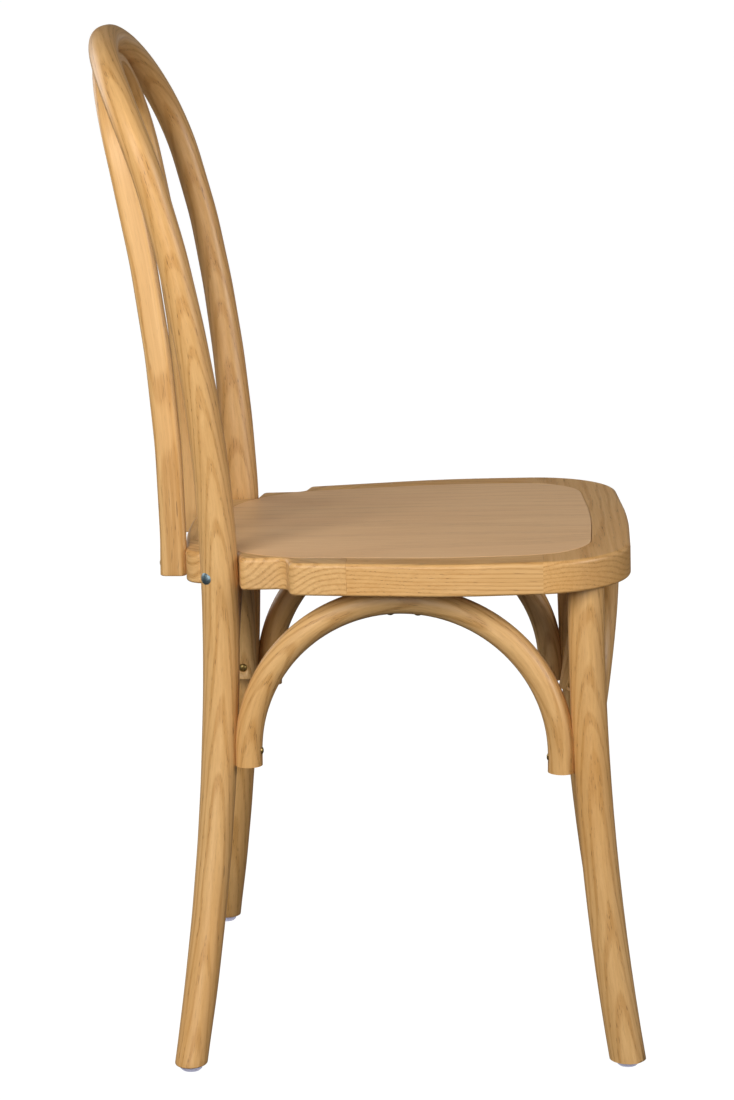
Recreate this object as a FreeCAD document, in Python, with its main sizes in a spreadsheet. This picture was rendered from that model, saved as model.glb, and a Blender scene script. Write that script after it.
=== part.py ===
import FreeCAD
import Part
import Sketcher
import math
import os

# A bentwood hoop-back dining chair, in millimetres, +Z up and the sitter facing -Y.
# The origin is on the floor, below the middle of the chair's length and width.
# Left and right are the sitter's: left is +X.

V = FreeCAD.Vector
UP = V(0, 0, 1)
SIDES = (("left", 1), ("right", -1))

doc = FreeCAD.newDocument("HoopBackChair")
sheet = doc.addObject("Spreadsheet::Sheet", "Dims")

SIZES = (
    ("overall_height", 890, "floor to the top of the back hoop"),
    ("seat_height", 447, "floor to the seat's top face at its datum"),
    ("seat_datum_y", -38, "seat datum behind the origin"),
    ("seat_lean", 1.46, "degrees that the seat leans back"),
    ("seat_thickness", 28, "seat frame"),
    ("seat_half_width", 208, "datum to the widest point of the seat"),
    ("seat_widest_y", -30, "widest point of the seat from the datum"),
    ("seat_front", 194.5, "datum to the middle of the front edge"),
    ("seat_rear", 196, "datum to the rear corners between the legs"),
    ("seat_front_bow", 8, "how far the front edge falls back at the corners"),
    ("seat_rear_bow", 9, "how far the rear edge stands out in the middle"),
    ("corner_inset", 7, "widest point of the seat to its front corners, across"),
    ("step_inset", 24, "widest point of the seat to the step before the heel, across"),
    ("seat_step_y", 102.5, "step before the heel, from the datum"),
    ("heel_inset", 26, "step to the heel in front of the rear leg, across"),
    ("heel_clear_y", 5, "step's drop towards the heel"),
    ("heel_gap", 4.8, "heel's outer corner to the notch for a rear leg"),
    ("front_bow_radius", 1400, "front edge"),
    ("rear_bow_radius", 700, "rear edges of the seat and the panel"),
    ("front_corner_radius", 84, "front corners of the seat"),
    ("side_bow_radius", 420, "side edges"),
    ("step_radius", 7, "rounded corner of the step"),
    ("heel_cove_radius", 10, "hollow between step and heel"),
    ("heel_corner_radius", 6, "rear corner of the heel"),
    ("notch_bite", 2, "how far the seat is hollowed to fit a rear leg"),
    ("notch_radius", 3, "inner corner of the notch for a rear leg"),
    ("tongue_corner_radius", 18, "rear corners between the legs"),
    ("seat_edge_radius", 4, "rounding of the top edge"),
    ("seat_arris_radius", 2.5, "rounding of the lower edge"),
    ("front_margin", 32.5, "front edge of the seat to the panel"),
    ("rear_margin", 20, "rear corners between the legs to the panel"),
    ("side_margin", 31, "side edge of the seat to the panel"),
    ("rear_corner_margin", 34, "step of the seat to the panel's rear corners, across"),
    ("panel_bow", 8, "how far the front and rear edges fall back at the corners"),
    ("panel_front_radius", 62, "front corners of the panel"),
    ("panel_rear_radius", 100, "rear corners of the panel"),
    ("panel_thickness", 8, "seat panel"),
    ("panel_gap", 0.5, "seam round the panel"),
    ("ledge_width", 22, "ledge that carries the panel"),
    ("front_joint_y", -112, "joint of front rail and side rails, from the datum"),
    ("rear_joint_y", 54, "joint of side rails and rear corners, from the datum"),
    ("rear_joint_x", 70, "joint of rear corners and rear rail"),
    ("dowel_diameter", 8, "frame dowels"),
    ("dowel_length", 36, "frame dowels"),
    ("dowel_spacing", 20, "between the two dowels of a joint"),
    ("dowel_edge", 17, "outer edge of the frame to the first dowel"),
    ("waist_height", 385, "height where the rear legs are closest"),
    ("waist_half_width", 140, "middle of a rear leg at the waist"),
    ("waist_y", 126.4, "middle of a rear leg at the waist"),
    ("rear_foot_half_width", 208, "middle of a rear foot"),
    ("rear_foot_y", 153.8, "middle of a rear foot"),
    ("shoulder_half_width", 171, "widest point of the back hoop"),
    ("arch_rise", 107, "shoulder to the middle of the crown"),
    ("arch_fullness", 2.25, "exponent of the arch, 2 is an ellipse"),
    ("crown_y", 230, "middle of the crown"),
    ("lower_back_radius", 1490, "bend of the back above the waist"),
    ("bend_height", 713, "height where the back starts to bend more"),
    ("hoop_foot_diameter", 28.5, "back hoop at the floor"),
    ("hoop_seat_diameter", 33, "back hoop at the seat"),
    ("hoop_shoulder_diameter", 26, "back hoop at the bend"),
    ("hoop_crown_diameter", 25.4, "back hoop at the crown"),
    ("inner_end_rise", 3, "underside of the seat to the lower ends of the inner hoop"),
    ("inner_end_half_width", 100, "lower ends of the inner hoop"),
    ("inner_straight", 22, "length of the inner hoop's lower ends before it leans back"),
    ("inner_half_width", 107, "widest point of the inner hoop"),
    ("inner_arch_rise", 86, "widest point to the inner hoop's crown"),
    ("inner_depth", 23, "inner hoop, front to back"),
    ("inner_thickness", 15, "inner hoop, across"),
    ("inner_edge_radius", 6, "rounded edges of the inner hoop"),
    ("inner_bite", 0.8, "how far the inner hoop is hollowed to fit the seat"),
    ("inner_crown_flat", 18, "half of the straight length at the inner hoop's crown"),
    ("saddle_depth", 1.5, "how far the crown of the inner hoop is hollowed for the back hoop"),
    ("crown_lean", 2, "degrees from upright of the line between the two crowns"),
    ("front_leg_half_width", 166, "middle of a front leg at the top of its curve"),
    ("front_leg_y", -187.5, "middle of a front leg at the top of its curve"),
    ("front_foot_half_width", 189, "middle of a front foot"),
    ("front_foot_y", -227.77, "middle of a front foot"),
    ("front_leg_diameter", 31.4, "front legs"),
    ("tenon_diameter", 20, "round tenon on the front leg"),
    ("tenon_length", 16, "round tenon on the front leg"),
    ("brace_diameter", 24, "arched braces"),
    ("brace_bite", 2, "how far a brace is hollowed to fit its leg"),
    ("brace_flat", 0.5, "how far the top of a brace is planed for the seat"),
    ("side_brace_drop", 161, "underside of the seat to the lower ends of a side brace"),
    ("rear_brace_drop", 143, "underside of the seat to the lower ends of the rear brace"),
    ("front_brace_drop", 169, "underside of the seat to the lower ends of the front brace"),
    ("rear_brace_forward", 2, "rear brace in front of the leg's middle"),
    ("front_brace_back", 6.5, "front brace behind the leg's middle"),
    ("front_brace_lean", 8.5, "degrees that the front brace leans forward"),
    ("side_screw_rise", 13, "end of a side brace to its screw"),
    ("rear_screw_rise", 11, "end of the rear brace to its screw"),
    ("front_screw_rise", 6, "end of the front brace to its screw"),
    ("seat_screw_spread", 12, "middle of a brace to its seat screws"),
    ("glide_height", 5.5, "floor glides"),
    ("glide_diameter", 19, "floor glides"),
    ("glide_bevel", 1.6, "bevelled lower edge of a glide"),
    ("bolt_diameter", 6, "rear leg bolts"),
    ("bolt_length", 54, "rear leg bolts, below the head"),
    ("bolt_head_diameter", 12, "rear leg bolts"),
    ("bolt_head_height", 3.5, "rear leg bolts"),
    ("insert_diameter", 10, "threaded inserts"),
    ("insert_length", 14, "threaded inserts"),
    ("insert_depth", 1, "how far an insert is sunk below the rear leg"),
    ("screw_diameter", 4, "wood screws"),
    ("screw_head_diameter", 8, "wood screws"),
    ("screw_head_height", 2.6, "wood screws"),
    ("brace_screw_length", 35, "screws from a brace into a leg"),
    ("seat_screw_length", 35, "screws from a brace into the seat"),
    ("inner_screw_length", 44, "screws from the inner hoop into the seat"),
    ("crown_screw_length", 26, "screws from the inner hoop into the crown"),
    ("crown_screw_spread", 13, "middle of the crown to its screws"),
    ("head_room", 12, "clear space above the seat of a head"),
    ("screw_seat_depth", 1.5, "flat cut for a screw head in a round surface"),
    ("nail_diameter", 2.4, "glide nails"),
    ("nail_length", 18, "glide nails"),
    ("nail_head_diameter", 5, "glide nails"),
    ("nail_head_height", 1.2, "glide nails"),
    ("nail_sink", 0.4, "underside of a glide to its nail"),
    ("fit_gap", 0.15, "clearance between pieces that fit"),
)

for row, (alias, value, note) in enumerate(SIZES, start=1):
    sheet.set(f"A{row}", alias)
    sheet.set(f"B{row}", str(value))
    sheet.set(f"C{row}", note)
    sheet.setAlias(f"B{row}", alias)
doc.recompute()


def size(alias):
    """The value of a cell of the sheet."""
    return float(sheet.get(alias))


def bind(thing, **expressions):
    """Tie properties of an object to cells of the sheet."""
    for prop, expression in expressions.items():
        thing.setExpression(prop, expression)


# Arcs that leave a straight line


def arc_radius(run, rise):
    """Radius of an arc that leaves a line and is rise away from it after run."""
    return (run ** 2 + rise ** 2) / (2 * rise)


def arc_offset(run, radius):
    """How far an arc has left its tangent after run."""
    return radius - math.copysign(math.sqrt(radius ** 2 - run ** 2), radius)


def arc_between(run, full_run, full_rise):
    """Offset after run of the arc that is full_rise away after full_run."""
    return arc_offset(run, arc_radius(full_run, full_rise))


# Centre lines of the bent members, for the left half


WAIST_Z = size("waist_height")
CROWN_Z = size("overall_height") - size("hoop_crown_diameter") / 2
SHOULDER_Z = CROWN_Z - size("arch_rise")
BEND_Z = size("bend_height")


def back_bend():
    """Where the back's two bends meet, its angle there and the upper bend's radius."""
    radius = size("lower_back_radius")
    angle = math.asin((BEND_Z - WAIST_Z) / radius)
    meet_y = size("waist_y") + arc_offset(BEND_Z - WAIST_Z, radius)
    rise = CROWN_Z - BEND_Z
    depth = size("crown_y") - meet_y
    lever = depth * math.cos(angle) - rise * math.sin(angle)
    return meet_y, angle, (depth ** 2 + rise ** 2) / (2 * lever)


MEET_Y, MEET_ANGLE, UPPER_BACK_RADIUS = back_bend()


def hoop_y(z):
    """Side view of the back hoop: sabre leg, gentle lower back, stronger bend to the crown."""
    if z < WAIST_Z:
        return size("waist_y") + arc_between(WAIST_Z - z, WAIST_Z, size("rear_foot_y") - size("waist_y"))
    if z < BEND_Z:
        return size("waist_y") + arc_offset(z - WAIST_Z, size("lower_back_radius"))
    centre_y = MEET_Y + UPPER_BACK_RADIUS * math.cos(MEET_ANGLE)
    centre_z = BEND_Z - UPPER_BACK_RADIUS * math.sin(MEET_ANGLE)
    across = math.sqrt(UPPER_BACK_RADIUS ** 2 - (z - centre_z) ** 2)
    return centre_y - math.copysign(across, UPPER_BACK_RADIUS)


def hoop_side(z):
    """Point of the back hoop's left side, up to the shoulder."""
    waist = size("waist_half_width")
    shoulder = size("shoulder_half_width")
    middle = (WAIST_Z + SHOULDER_Z) / 2
    if z < WAIST_Z:
        x = waist + arc_between(WAIST_Z - z, WAIST_Z, size("rear_foot_half_width") - waist)
    elif z < middle:
        x = waist + arc_between(z - WAIST_Z, middle - WAIST_Z, (shoulder - waist) / 2)
    else:
        x = shoulder - arc_between(SHOULDER_Z - z, SHOULDER_Z - middle, (shoulder - waist) / 2)
    return V(x, hoop_y(z), z)


def arch_point(turn, half_width, base_z, rise, fullness, depth_at):
    """Point of an arch, turn going from 0 at the side to 90 degrees at the crown."""
    x = half_width * abs(math.cos(turn)) ** (2 / fullness) * math.copysign(1, math.cos(turn))
    z = base_z + rise * abs(math.sin(turn)) ** (2 / fullness)
    return V(x, depth_at(z), z)


def steps(start, end, count):
    """Evenly spaced values from start to end, the end left out."""
    return [start + (end - start) * i / count for i in range(count)]


def front_leg_splay():
    """Plan vector from the top of the left front leg to its foot."""
    across = size("front_foot_half_width") - size("front_leg_half_width")
    return V(across, size("front_foot_y") - size("front_leg_y"), 0)


FRONT_BEND_RADIUS = arc_radius(size("seat_height"), front_leg_splay().Length)


def front_leg_point(z):
    """Point of the left front leg, one long bend forward and outward to the foot."""
    drop = size("seat_height") - z
    top = V(size("front_leg_half_width"), size("front_leg_y"), z)
    return top + front_leg_splay().normalize() * arc_offset(drop, FRONT_BEND_RADIUS)


def flipped(point):
    """A point's or direction's mirror image across the middle of the chair."""
    return V(-point.x, point.y, point.z)


def on_side(sign, point):
    """A point of the left half, on the left for sign 1 and on the right for sign -1."""
    return V(sign * point.x, point.y, point.z)


# Building blocks


def place(point, direction, side):
    """Placement at a point, with Z along direction and X as near side as it can be."""
    return FreeCAD.Placement(point, FreeCAD.Rotation(side, V(), direction, "ZXY"))


def aim(point, direction):
    """Placement of a round thing at a point, with Z along direction."""
    return FreeCAD.Placement(point, FreeCAD.Rotation(UP, direction))


def block(name, frame, low, high):
    """A box between two corners in the frame of a placement."""
    box = doc.addObject("Part::Box", name)
    box.Length, box.Width, box.Height = high - low
    box.Placement = frame.multiply(FreeCAD.Placement(low, FreeCAD.Rotation()))
    return box


def cylinder(name, frame, radius, height):
    """A cylinder along the Z of a placement, sized by expressions."""
    rod = doc.addObject("Part::Cylinder", name)
    bind(rod, Radius=radius, Height=height)
    rod.Placement = frame
    return rod


def gather(name, things):
    """Several objects as one, not joined."""
    group = doc.addObject("Part::Compound", name)
    group.Links = things
    return group


def join(name, things):
    """Several objects made one solid."""
    result = doc.addObject("Part::MultiFuse", name)
    result.Shapes = things
    return result


def cut(name, base, tools):
    """One object less others."""
    result = doc.addObject("Part::Cut", name)
    result.Base = base
    result.Tool = tools[0] if len(tools) == 1 else gather(name + "_tools", tools)
    return result


def common(name, base, tool):
    """What two objects share."""
    result = doc.addObject("Part::Common", name)
    result.Base = base
    result.Tool = tool
    return result


def copies(name, master, frames):
    """Links to a master object, each at its own placement, as one group."""
    links = []
    for i, frame in enumerate(frames):
        link = doc.addObject("App::Link", f"{name}_{i}")
        link.LinkedObject = master
        link.Placement = frame
        links.append(link)
    return gather(name, links)


def both_sides(aims):
    """Placements for points with directions on the left, and for their mirror images."""
    return [aim(*pair) for pair in aims] + [aim(flipped(p), flipped(d)) for p, d in aims]


def sketch_on(body, name, role, geometry):
    """A sketch on one of a body's own planes."""
    plane = next(feature for feature in body.Origin.OriginFeatures if feature.Role == role)
    sketch = body.newObject("Sketcher::SketchObject", name)
    sketch.AttachmentSupport = (plane, [""])
    sketch.MapMode = "FlatFace"
    sketch.addGeometry(geometry, False)
    return sketch


def arcs(centre, radius, angles):
    """Arcs of one circle in a sketch, from each angle in degrees to the next."""
    spokes = []
    for start, end in zip(angles, angles[1:]):
        turns = (start, (start + end) / 2, end)
        spokes.append([V(math.cos(a), math.sin(a), 0) for a in map(math.radians, turns)])
    return [Part.Arc(*[centre + spoke * radius for spoke in trio]) for trio in spokes]


def bent_rod(name, frame, path, start, diameter):
    """A round rod of one diameter along a flat path, which leaves its start upright."""
    body = doc.addObject("PartDesign::Body", name)
    spine = sketch_on(body, name + "_path", "XZ_Plane", path)
    round_end = Part.Circle(V(start, 0, 0), UP, size(diameter) / 2)
    profile = sketch_on(body, name + "_profile", "XY_Plane", [round_end])
    profile.addConstraint(Sketcher.Constraint("Diameter", 0, size(diameter)))
    bind(profile, **{"Constraints[0]": f"Dims.{diameter}"})
    doc.recompute()
    bend = body.newObject("PartDesign::AdditivePipe", name + "_bend")
    bend.Profile = profile
    bend.Spine = (spine, [f"Edge{i + 1}" for i in range(len(path))])
    body.Placement = frame
    return body


# Frames and levels that several pieces share


SEAT = FreeCAD.Placement(
    V(0, size("seat_datum_y"), size("seat_height")),
    FreeCAD.Rotation(V(1, 0, 0), -size("seat_lean")),
)
SEAT_UP = SEAT.Rotation.multVec(UP)
SEAT_BACK = SEAT.Rotation.multVec(V(0, 1, 0))
SEAT_SLOPE = -SEAT_UP.y / SEAT_UP.z
THICK = size("seat_thickness")
CORE_Z = -(size("panel_thickness") + THICK) / 2
GLIDE_TOP = size("glide_height")
BRACE_RADIUS = size("brace_diameter") / 2
FRONT_LEG_RADIUS = size("front_leg_diameter") / 2
SEAT_DEPTH = size("screw_seat_depth")
FAR = 2 * size("overall_height")


def underside_z(y):
    """Height of the seat frame's underside at a depth."""
    corner = SEAT.multVec(V(0, 0, -THICK))
    return corner.z + (y - corner.y) * SEAT_SLOPE


# Straight stretches of the back hoop, where the seat, the braces and the inner hoop meet it

LAND_MARGIN = 10.0
SEAT_LAND = (
    underside_z(size("waist_y")) - LAND_MARGIN,
    underside_z(size("waist_y")) + THICK + LAND_MARGIN,
)
SIDE_BRACE_END = underside_z(size("seat_datum_y")) - size("side_brace_drop")
REAR_BRACE_END = underside_z(size("waist_y")) - size("rear_brace_drop")
FRONT_BRACE_END = underside_z(size("front_leg_y")) - size("front_brace_drop")
BRACE_LAND = (
    min(SIDE_BRACE_END, REAR_BRACE_END) - LAND_MARGIN,
    max(SIDE_BRACE_END, REAR_BRACE_END) + 5 * LAND_MARGIN,
)
CROWN_LAND = 2 * size("crown_screw_spread")


def hoop_radius(z):
    """Expression for the back hoop's radius at a height, from its four diameters."""
    stages = (
        (0, "hoop_foot_diameter"),
        (size("seat_height"), "hoop_seat_diameter"),
        (BEND_Z, "hoop_shoulder_diameter"),
        (CROWN_Z, "hoop_crown_diameter"),
    )
    for (low_z, low), (high_z, high) in zip(stages, stages[1:]):
        if z <= high_z:
            share = (z - low_z) / (high_z - low_z)
            return f"(Dims.{low} * {1 - share:.5f} + Dims.{high} * {share:.5f}) / 2"
    return "Dims.hoop_crown_diameter / 2"


def radius_at(z):
    """The back hoop's radius at a height."""
    return float(sheet.evalExpression(hoop_radius(z)))


def hoop_land(name, start, end):
    """A straight tapered stretch of the back hoop between two points of its path."""
    land = doc.addObject("Part::Cone", name)
    bind(land, Radius1=hoop_radius(start.z), Radius2=hoop_radius(end.z))
    land.Height = (end - start).Length
    land.Placement = place(start, end - start, V(0, 1, 0))
    return land


def hoop_bend(name, points, first, last):
    """A bent stretch of the back hoop, lofted through circles square to its path."""
    ahead = [after - before for before, after in zip(points, points[2:])]
    circles = []
    for i, (point, direction) in enumerate(zip(points, [first] + ahead + [last])):
        circle = doc.addObject("Part::Circle", f"{name}_{i}")
        bind(circle, Radius=hoop_radius(point.z))
        circle.Placement = place(point, direction, V(0, 1, 0))
        circles.append(circle)
    bend = doc.addObject("Part::Loft", name)
    bend.Sections = circles
    bend.Solid = True
    bend.Ruled = True
    return bend


def hoop_arch(stations):
    """Points of the back hoop's left shoulder up to the straight crown."""
    half = size("shoulder_half_width")
    fullness = size("arch_fullness")
    last_turn = math.acos((CROWN_LAND / half) ** (fullness / 2))
    turns = steps(0, last_turn, stations)
    return [arch_point(turn, half, SHOULDER_Z, size("arch_rise"), fullness, hoop_y) for turn in turns]


def make_back_hoop():
    """One tapered rod: left leg, arch and right leg, in bends between straight stretches."""
    brace_low, brace_high = [hoop_side(z) for z in BRACE_LAND]
    seat_low, seat_high = [hoop_side(z) for z in SEAT_LAND]
    crown = V(CROWN_LAND, size("crown_y"), CROWN_Z)
    shin = [hoop_side(z) for z in steps(GLIDE_TOP, BRACE_LAND[0], 4)]
    knee = [hoop_side(z) for z in steps(BRACE_LAND[1], SEAT_LAND[0], 2)]
    arm = [hoop_side(z) for z in steps(SEAT_LAND[1], SHOULDER_Z, 5)]
    bends = (
        (shin + [brace_low], UP, brace_high - brace_low),
        (knee + [seat_low], brace_high - brace_low, seat_high - seat_low),
        (arm + hoop_arch(9) + [crown], seat_high - seat_low, V(-1, 0, 0)),
    )
    pieces = []
    brace_lands = []
    seat_lands = []
    for side, sign in SIDES:
        for i, (points, first, last) in enumerate(bends):
            path = [on_side(sign, point) for point in points]
            bend = hoop_bend(f"hoop_bend_{side}_{i}", path, on_side(sign, first), on_side(sign, last))
            pieces.append(bend)
        ends = [on_side(sign, point) for point in (brace_low, brace_high, seat_low, seat_high)]
        brace_lands.append(hoop_land(f"brace_land_{side}", *ends[:2]))
        seat_lands.append(hoop_land(f"seat_land_{side}", *ends[2:]))
    crown_land = hoop_land("crown_land", crown, flipped(crown))
    hoop = join("back_hoop_blank", pieces + brace_lands + seat_lands + [crown_land])
    return hoop, brace_lands, seat_lands, crown_land


back_hoop_blank, brace_lands, seat_lands, crown_land = make_back_hoop()

# Seat frame and panel, drawn flat in the seat's own frame

LEG_AT_SEAT = SEAT.inverse().multVec(hoop_side(sum(SEAT_LAND) / 2))
LEG_RADIUS = radius_at(sum(SEAT_LAND) / 2)
NOTCH_X = LEG_AT_SEAT.x - LEG_RADIUS + size("notch_bite")
NOTCH_Y = LEG_AT_SEAT.y - LEG_RADIUS + size("notch_bite")

SEAT_SIDE = size("seat_half_width")
STEP_X = SEAT_SIDE - size("step_inset")
HEEL_X = STEP_X - size("heel_inset")
CORNER_X = SEAT_SIDE - size("corner_inset")
SEAT_CORNERS = (
    (0, -size("seat_front"), size("front_bow_radius")),
    (CORNER_X, size("seat_front_bow") - size("seat_front"), size("front_corner_radius")),
    (SEAT_SIDE, size("seat_widest_y"), size("side_bow_radius")),
    (STEP_X, size("seat_step_y"), size("step_radius")),
    (HEEL_X, size("seat_step_y") + size("heel_clear_y"), size("heel_cove_radius")),
    (HEEL_X, NOTCH_Y - size("heel_gap"), size("heel_corner_radius")),
    (NOTCH_X, NOTCH_Y, size("notch_radius")),
    (NOTCH_X, size("seat_rear"), size("tongue_corner_radius")),
    (0, size("seat_rear") + size("seat_rear_bow"), size("rear_bow_radius")),
)

PANEL_FRONT = size("front_margin") - size("seat_front")
PANEL_REAR = size("seat_rear") - size("rear_margin")
PANEL_CORNERS = (
    (0, PANEL_FRONT, size("front_bow_radius")),
    (CORNER_X - size("side_margin"), PANEL_FRONT + size("panel_bow"), size("panel_front_radius")),
    (SEAT_SIDE - size("side_margin"), size("seat_widest_y"), size("side_bow_radius")),
    (STEP_X - size("rear_corner_margin"), PANEL_REAR - size("panel_bow"), size("panel_rear_radius")),
    (0, PANEL_REAR, size("rear_bow_radius")),
)


def whole(half):
    """All the corners of an outline from those of its left half, front to rear."""
    return list(half) + [(-x, y, radius) for x, y, radius in reversed(half) if x > 0]


def neighbours(corners):
    """Each corner with the one before it and the one after it."""
    return zip(corners[-1:] + corners[:-1], corners, corners[1:] + corners[:1])


def flat_direction(start, end):
    """Unit vector from one corner to another."""
    return V(end[0] - start[0], end[1] - start[1], 0).normalize()


def inset(corners, depth):
    """Corners of the outline that runs inside another at an even distance."""
    result = []
    for before, corner, after in neighbours(corners):
        inward = UP.cross(flat_direction(before, corner))
        next_inward = UP.cross(flat_direction(corner, after))
        shift = (inward + next_inward) * (depth / (1 + inward.dot(next_inward)))
        result.append((corner[0] + shift.x, corner[1] + shift.y, corner[2] - depth))
    return result


def rounded(corners):
    """Lines and arcs of an outline with rounded corners."""
    arcs = []
    for before, corner, after in neighbours(corners):
        point = V(corner[0], corner[1], 0)
        back = flat_direction(corner, before)
        ahead = flat_direction(corner, after)
        half_angle = back.getAngle(ahead) / 2
        run = corner[2] / math.tan(half_angle)
        middle = (back + ahead).normalize() * (corner[2] / math.sin(half_angle) - corner[2])
        arcs.append(Part.Arc(point + back * run, point + middle, point + ahead * run))
    geometry = []
    for arc, following in zip(arcs, arcs[1:] + arcs[:1]):
        geometry.append(arc)
        geometry.append(Part.LineSegment(arc.EndPoint, following.StartPoint))
    return geometry


def edges_at(feature, z):
    """Names of a feature's edges that lie flat at a height."""
    names = []
    for i, edge in enumerate(feature.Shape.Edges, start=1):
        box = edge.BoundBox
        if abs(box.ZMin - z) < 0.01 and abs(box.ZMax - z) < 0.01:
            names.append(f"Edge{i}")
    return names


def pad(body, name, corners, thickness):
    """A plate below the body's XY plane."""
    plate = body.newObject("PartDesign::Pad", name)
    plate.Profile = sketch_on(body, name + "_outline", "XY_Plane", rounded(corners))
    plate.Reversed = True
    bind(plate, Length=f"Dims.{thickness}")
    doc.recompute()
    return plate


def fillet(body, name, base, z, radius):
    """Rounding of a feature's edges at a height."""
    rounding = body.newObject("PartDesign::Fillet", name)
    rounding.Base = (base, edges_at(base, z))
    bind(rounding, Radius=f"Dims.{radius}")
    doc.recompute()
    return rounding


def pocket(body, name, corners, depth):
    """A recess below the body's XY plane."""
    recess = body.newObject("PartDesign::Pocket", name)
    recess.Profile = sketch_on(body, name + "_outline", "XY_Plane", rounded(corners))
    bind(recess, Length=f"Dims.{depth}")
    doc.recompute()
    return recess


def make_seat_ring():
    """The seat frame before it is parted at its glue joints."""
    body = doc.addObject("PartDesign::Body", "seat_ring")
    plate = pad(body, "seat_plate", whole(SEAT_CORNERS), "seat_thickness")
    top = fillet(body, "seat_top_edge", plate, 0, "seat_edge_radius")
    fillet(body, "seat_lower_edge", top, -THICK, "seat_arris_radius")
    pocket(body, "panel_rebate", whole(PANEL_CORNERS), "panel_thickness")
    pocket(body, "seat_opening", inset(whole(PANEL_CORNERS), size("ledge_width")), "seat_thickness")
    body.Placement = SEAT
    return body


def make_panel():
    """The seat panel, loose in its rebate by the seam's width."""
    body = doc.addObject("PartDesign::Body", "seat_panel")
    pad(body, "panel_plate", inset(whole(PANEL_CORNERS), size("panel_gap")), "panel_thickness")
    body.Placement = SEAT
    return body


seat_ring = make_seat_ring()
seat_panel = make_panel()


def seat_share(name, low_x, high_x, low_y, high_y):
    """The part of the seat frame between glue joints."""
    box = block(name + "_box", SEAT, V(low_x, low_y, -2 * THICK), V(high_x, high_y, THICK))
    return common(name + "_blank", seat_ring, box)


FRONT_JOINT = size("front_joint_y")
REAR_JOINT = size("rear_joint_y")
REAR_JOINT_X = size("rear_joint_x")
front_rail_blank = seat_share("seat_front_rail", -FAR, FAR, -FAR, FRONT_JOINT)
rear_rail_blank = seat_share("seat_rear_rail", -REAR_JOINT_X, REAR_JOINT_X, REAR_JOINT, FAR)
side_rail_blanks = [
    seat_share("seat_left_rail", 0, FAR, FRONT_JOINT, REAR_JOINT),
    seat_share("seat_right_rail", -FAR, 0, FRONT_JOINT, REAR_JOINT),
]
rear_corner_blanks = [
    seat_share("seat_left_rear_corner", REAR_JOINT_X, FAR, REAR_JOINT, FAR),
    seat_share("seat_right_rear_corner", -FAR, -REAR_JOINT_X, REAR_JOINT, FAR),
]
seat_space = block("seat_space", SEAT, V(-FAR, -FAR, -THICK), V(FAR, FAR, FAR))
floor_space = block("floor_space", FreeCAD.Placement(), V(-FAR, -FAR, -FAR), V(FAR, FAR, GLIDE_TOP))

# Front legs, each with a round tenon under the seat


def make_front_leg(side, sign):
    """The bent leg and its tenon, before the screw holes."""
    name = f"front_leg_{side}"
    heights = (size("seat_height"), BRACE_LAND[1], BRACE_LAND[0], GLIDE_TOP / 2)
    angles = [180 + math.degrees(math.asin((heights[0] - z) / FRONT_BEND_RADIUS)) for z in heights]
    top = on_side(sign, front_leg_point(size("seat_height")))
    frame = place(top, UP, on_side(sign, front_leg_splay()))
    path = arcs(V(FRONT_BEND_RADIUS, 0, 0), FRONT_BEND_RADIUS, angles)
    rod = bent_rod(name + "_rod", frame, path, 0, "front_leg_diameter")
    shoulder = on_side(sign, front_leg_point(underside_z(size("front_leg_y"))))
    leg = cut(name + "_trimmed", rod, [seat_space, floor_space])
    overlap = size("tenon_length") / 2
    tenon = cylinder(
        name + "_tenon",
        aim(shoulder - UP * overlap, UP),
        "Dims.tenon_diameter / 2",
        f"Dims.tenon_length + {overlap}",
    )
    bore = cylinder(
        name + "_tenon_bore",
        aim(shoulder - UP * overlap, UP),
        "Dims.tenon_diameter / 2",
        f"Dims.tenon_length + Dims.fit_gap + {overlap}",
    )
    return rod, join(name + "_blank", [leg, tenon]), bore


front_rods, front_leg_blanks, tenon_bores = zip(*[make_front_leg(*side) for side in SIDES])

# Arched braces between the legs

ARCH_AT = SIDE_BRACE_END + BRACE_RADIUS


def brace_tilt(lean):
    """Up direction of a brace that leans forward by an angle."""
    return FreeCAD.Rotation(V(1, 0, 0), lean).multVec(UP)


def make_brace(name, middle, along, radius, lean, legs, screw_rise):
    """An arch on two short straight ends, hollowed for its legs and planed for the seat."""
    upright = brace_tilt(lean)
    top = underside_z(middle.y) - BRACE_RADIUS + size("brace_flat") - middle.z
    crown = top / (upright.z - SEAT_SLOPE * upright.y)
    spring = crown - radius
    frame = place(middle, upright, along)
    seated = math.degrees(2 * size("seat_screw_spread") / radius)
    path = [Part.LineSegment(V(-radius, 0, 0), V(-radius, spring, 0))]
    path += arcs(V(0, spring, 0), radius, (180, 180 - seated, 90 + seated, 90 - seated, seated, 0))
    path += [Part.LineSegment(V(radius, spring, 0), V(radius, 0, 0))]
    rod = bent_rod(name + "_rod", frame, path, -radius, "brace_diameter")
    blank = cut(name + "_blank", rod, [seat_space] + legs)
    inside = radius - BRACE_RADIUS + SEAT_DEPTH
    leg_aims = []
    seat_aims = []
    for sign in (1, -1):
        inward = frame.Rotation.multVec(V(-sign, 0, 0))
        leg_aims.append(aim(frame.multVec(V(sign * inside, 0, screw_rise)), inward))
        spread = size("seat_screw_spread")
        below = spring + math.sqrt(radius ** 2 - spread ** 2) - BRACE_RADIUS + SEAT_DEPTH
        seat_aims.append(aim(frame.multVec(V(sign * spread, 0, below)), upright * -1))
    return blank, leg_aims, seat_aims


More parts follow.
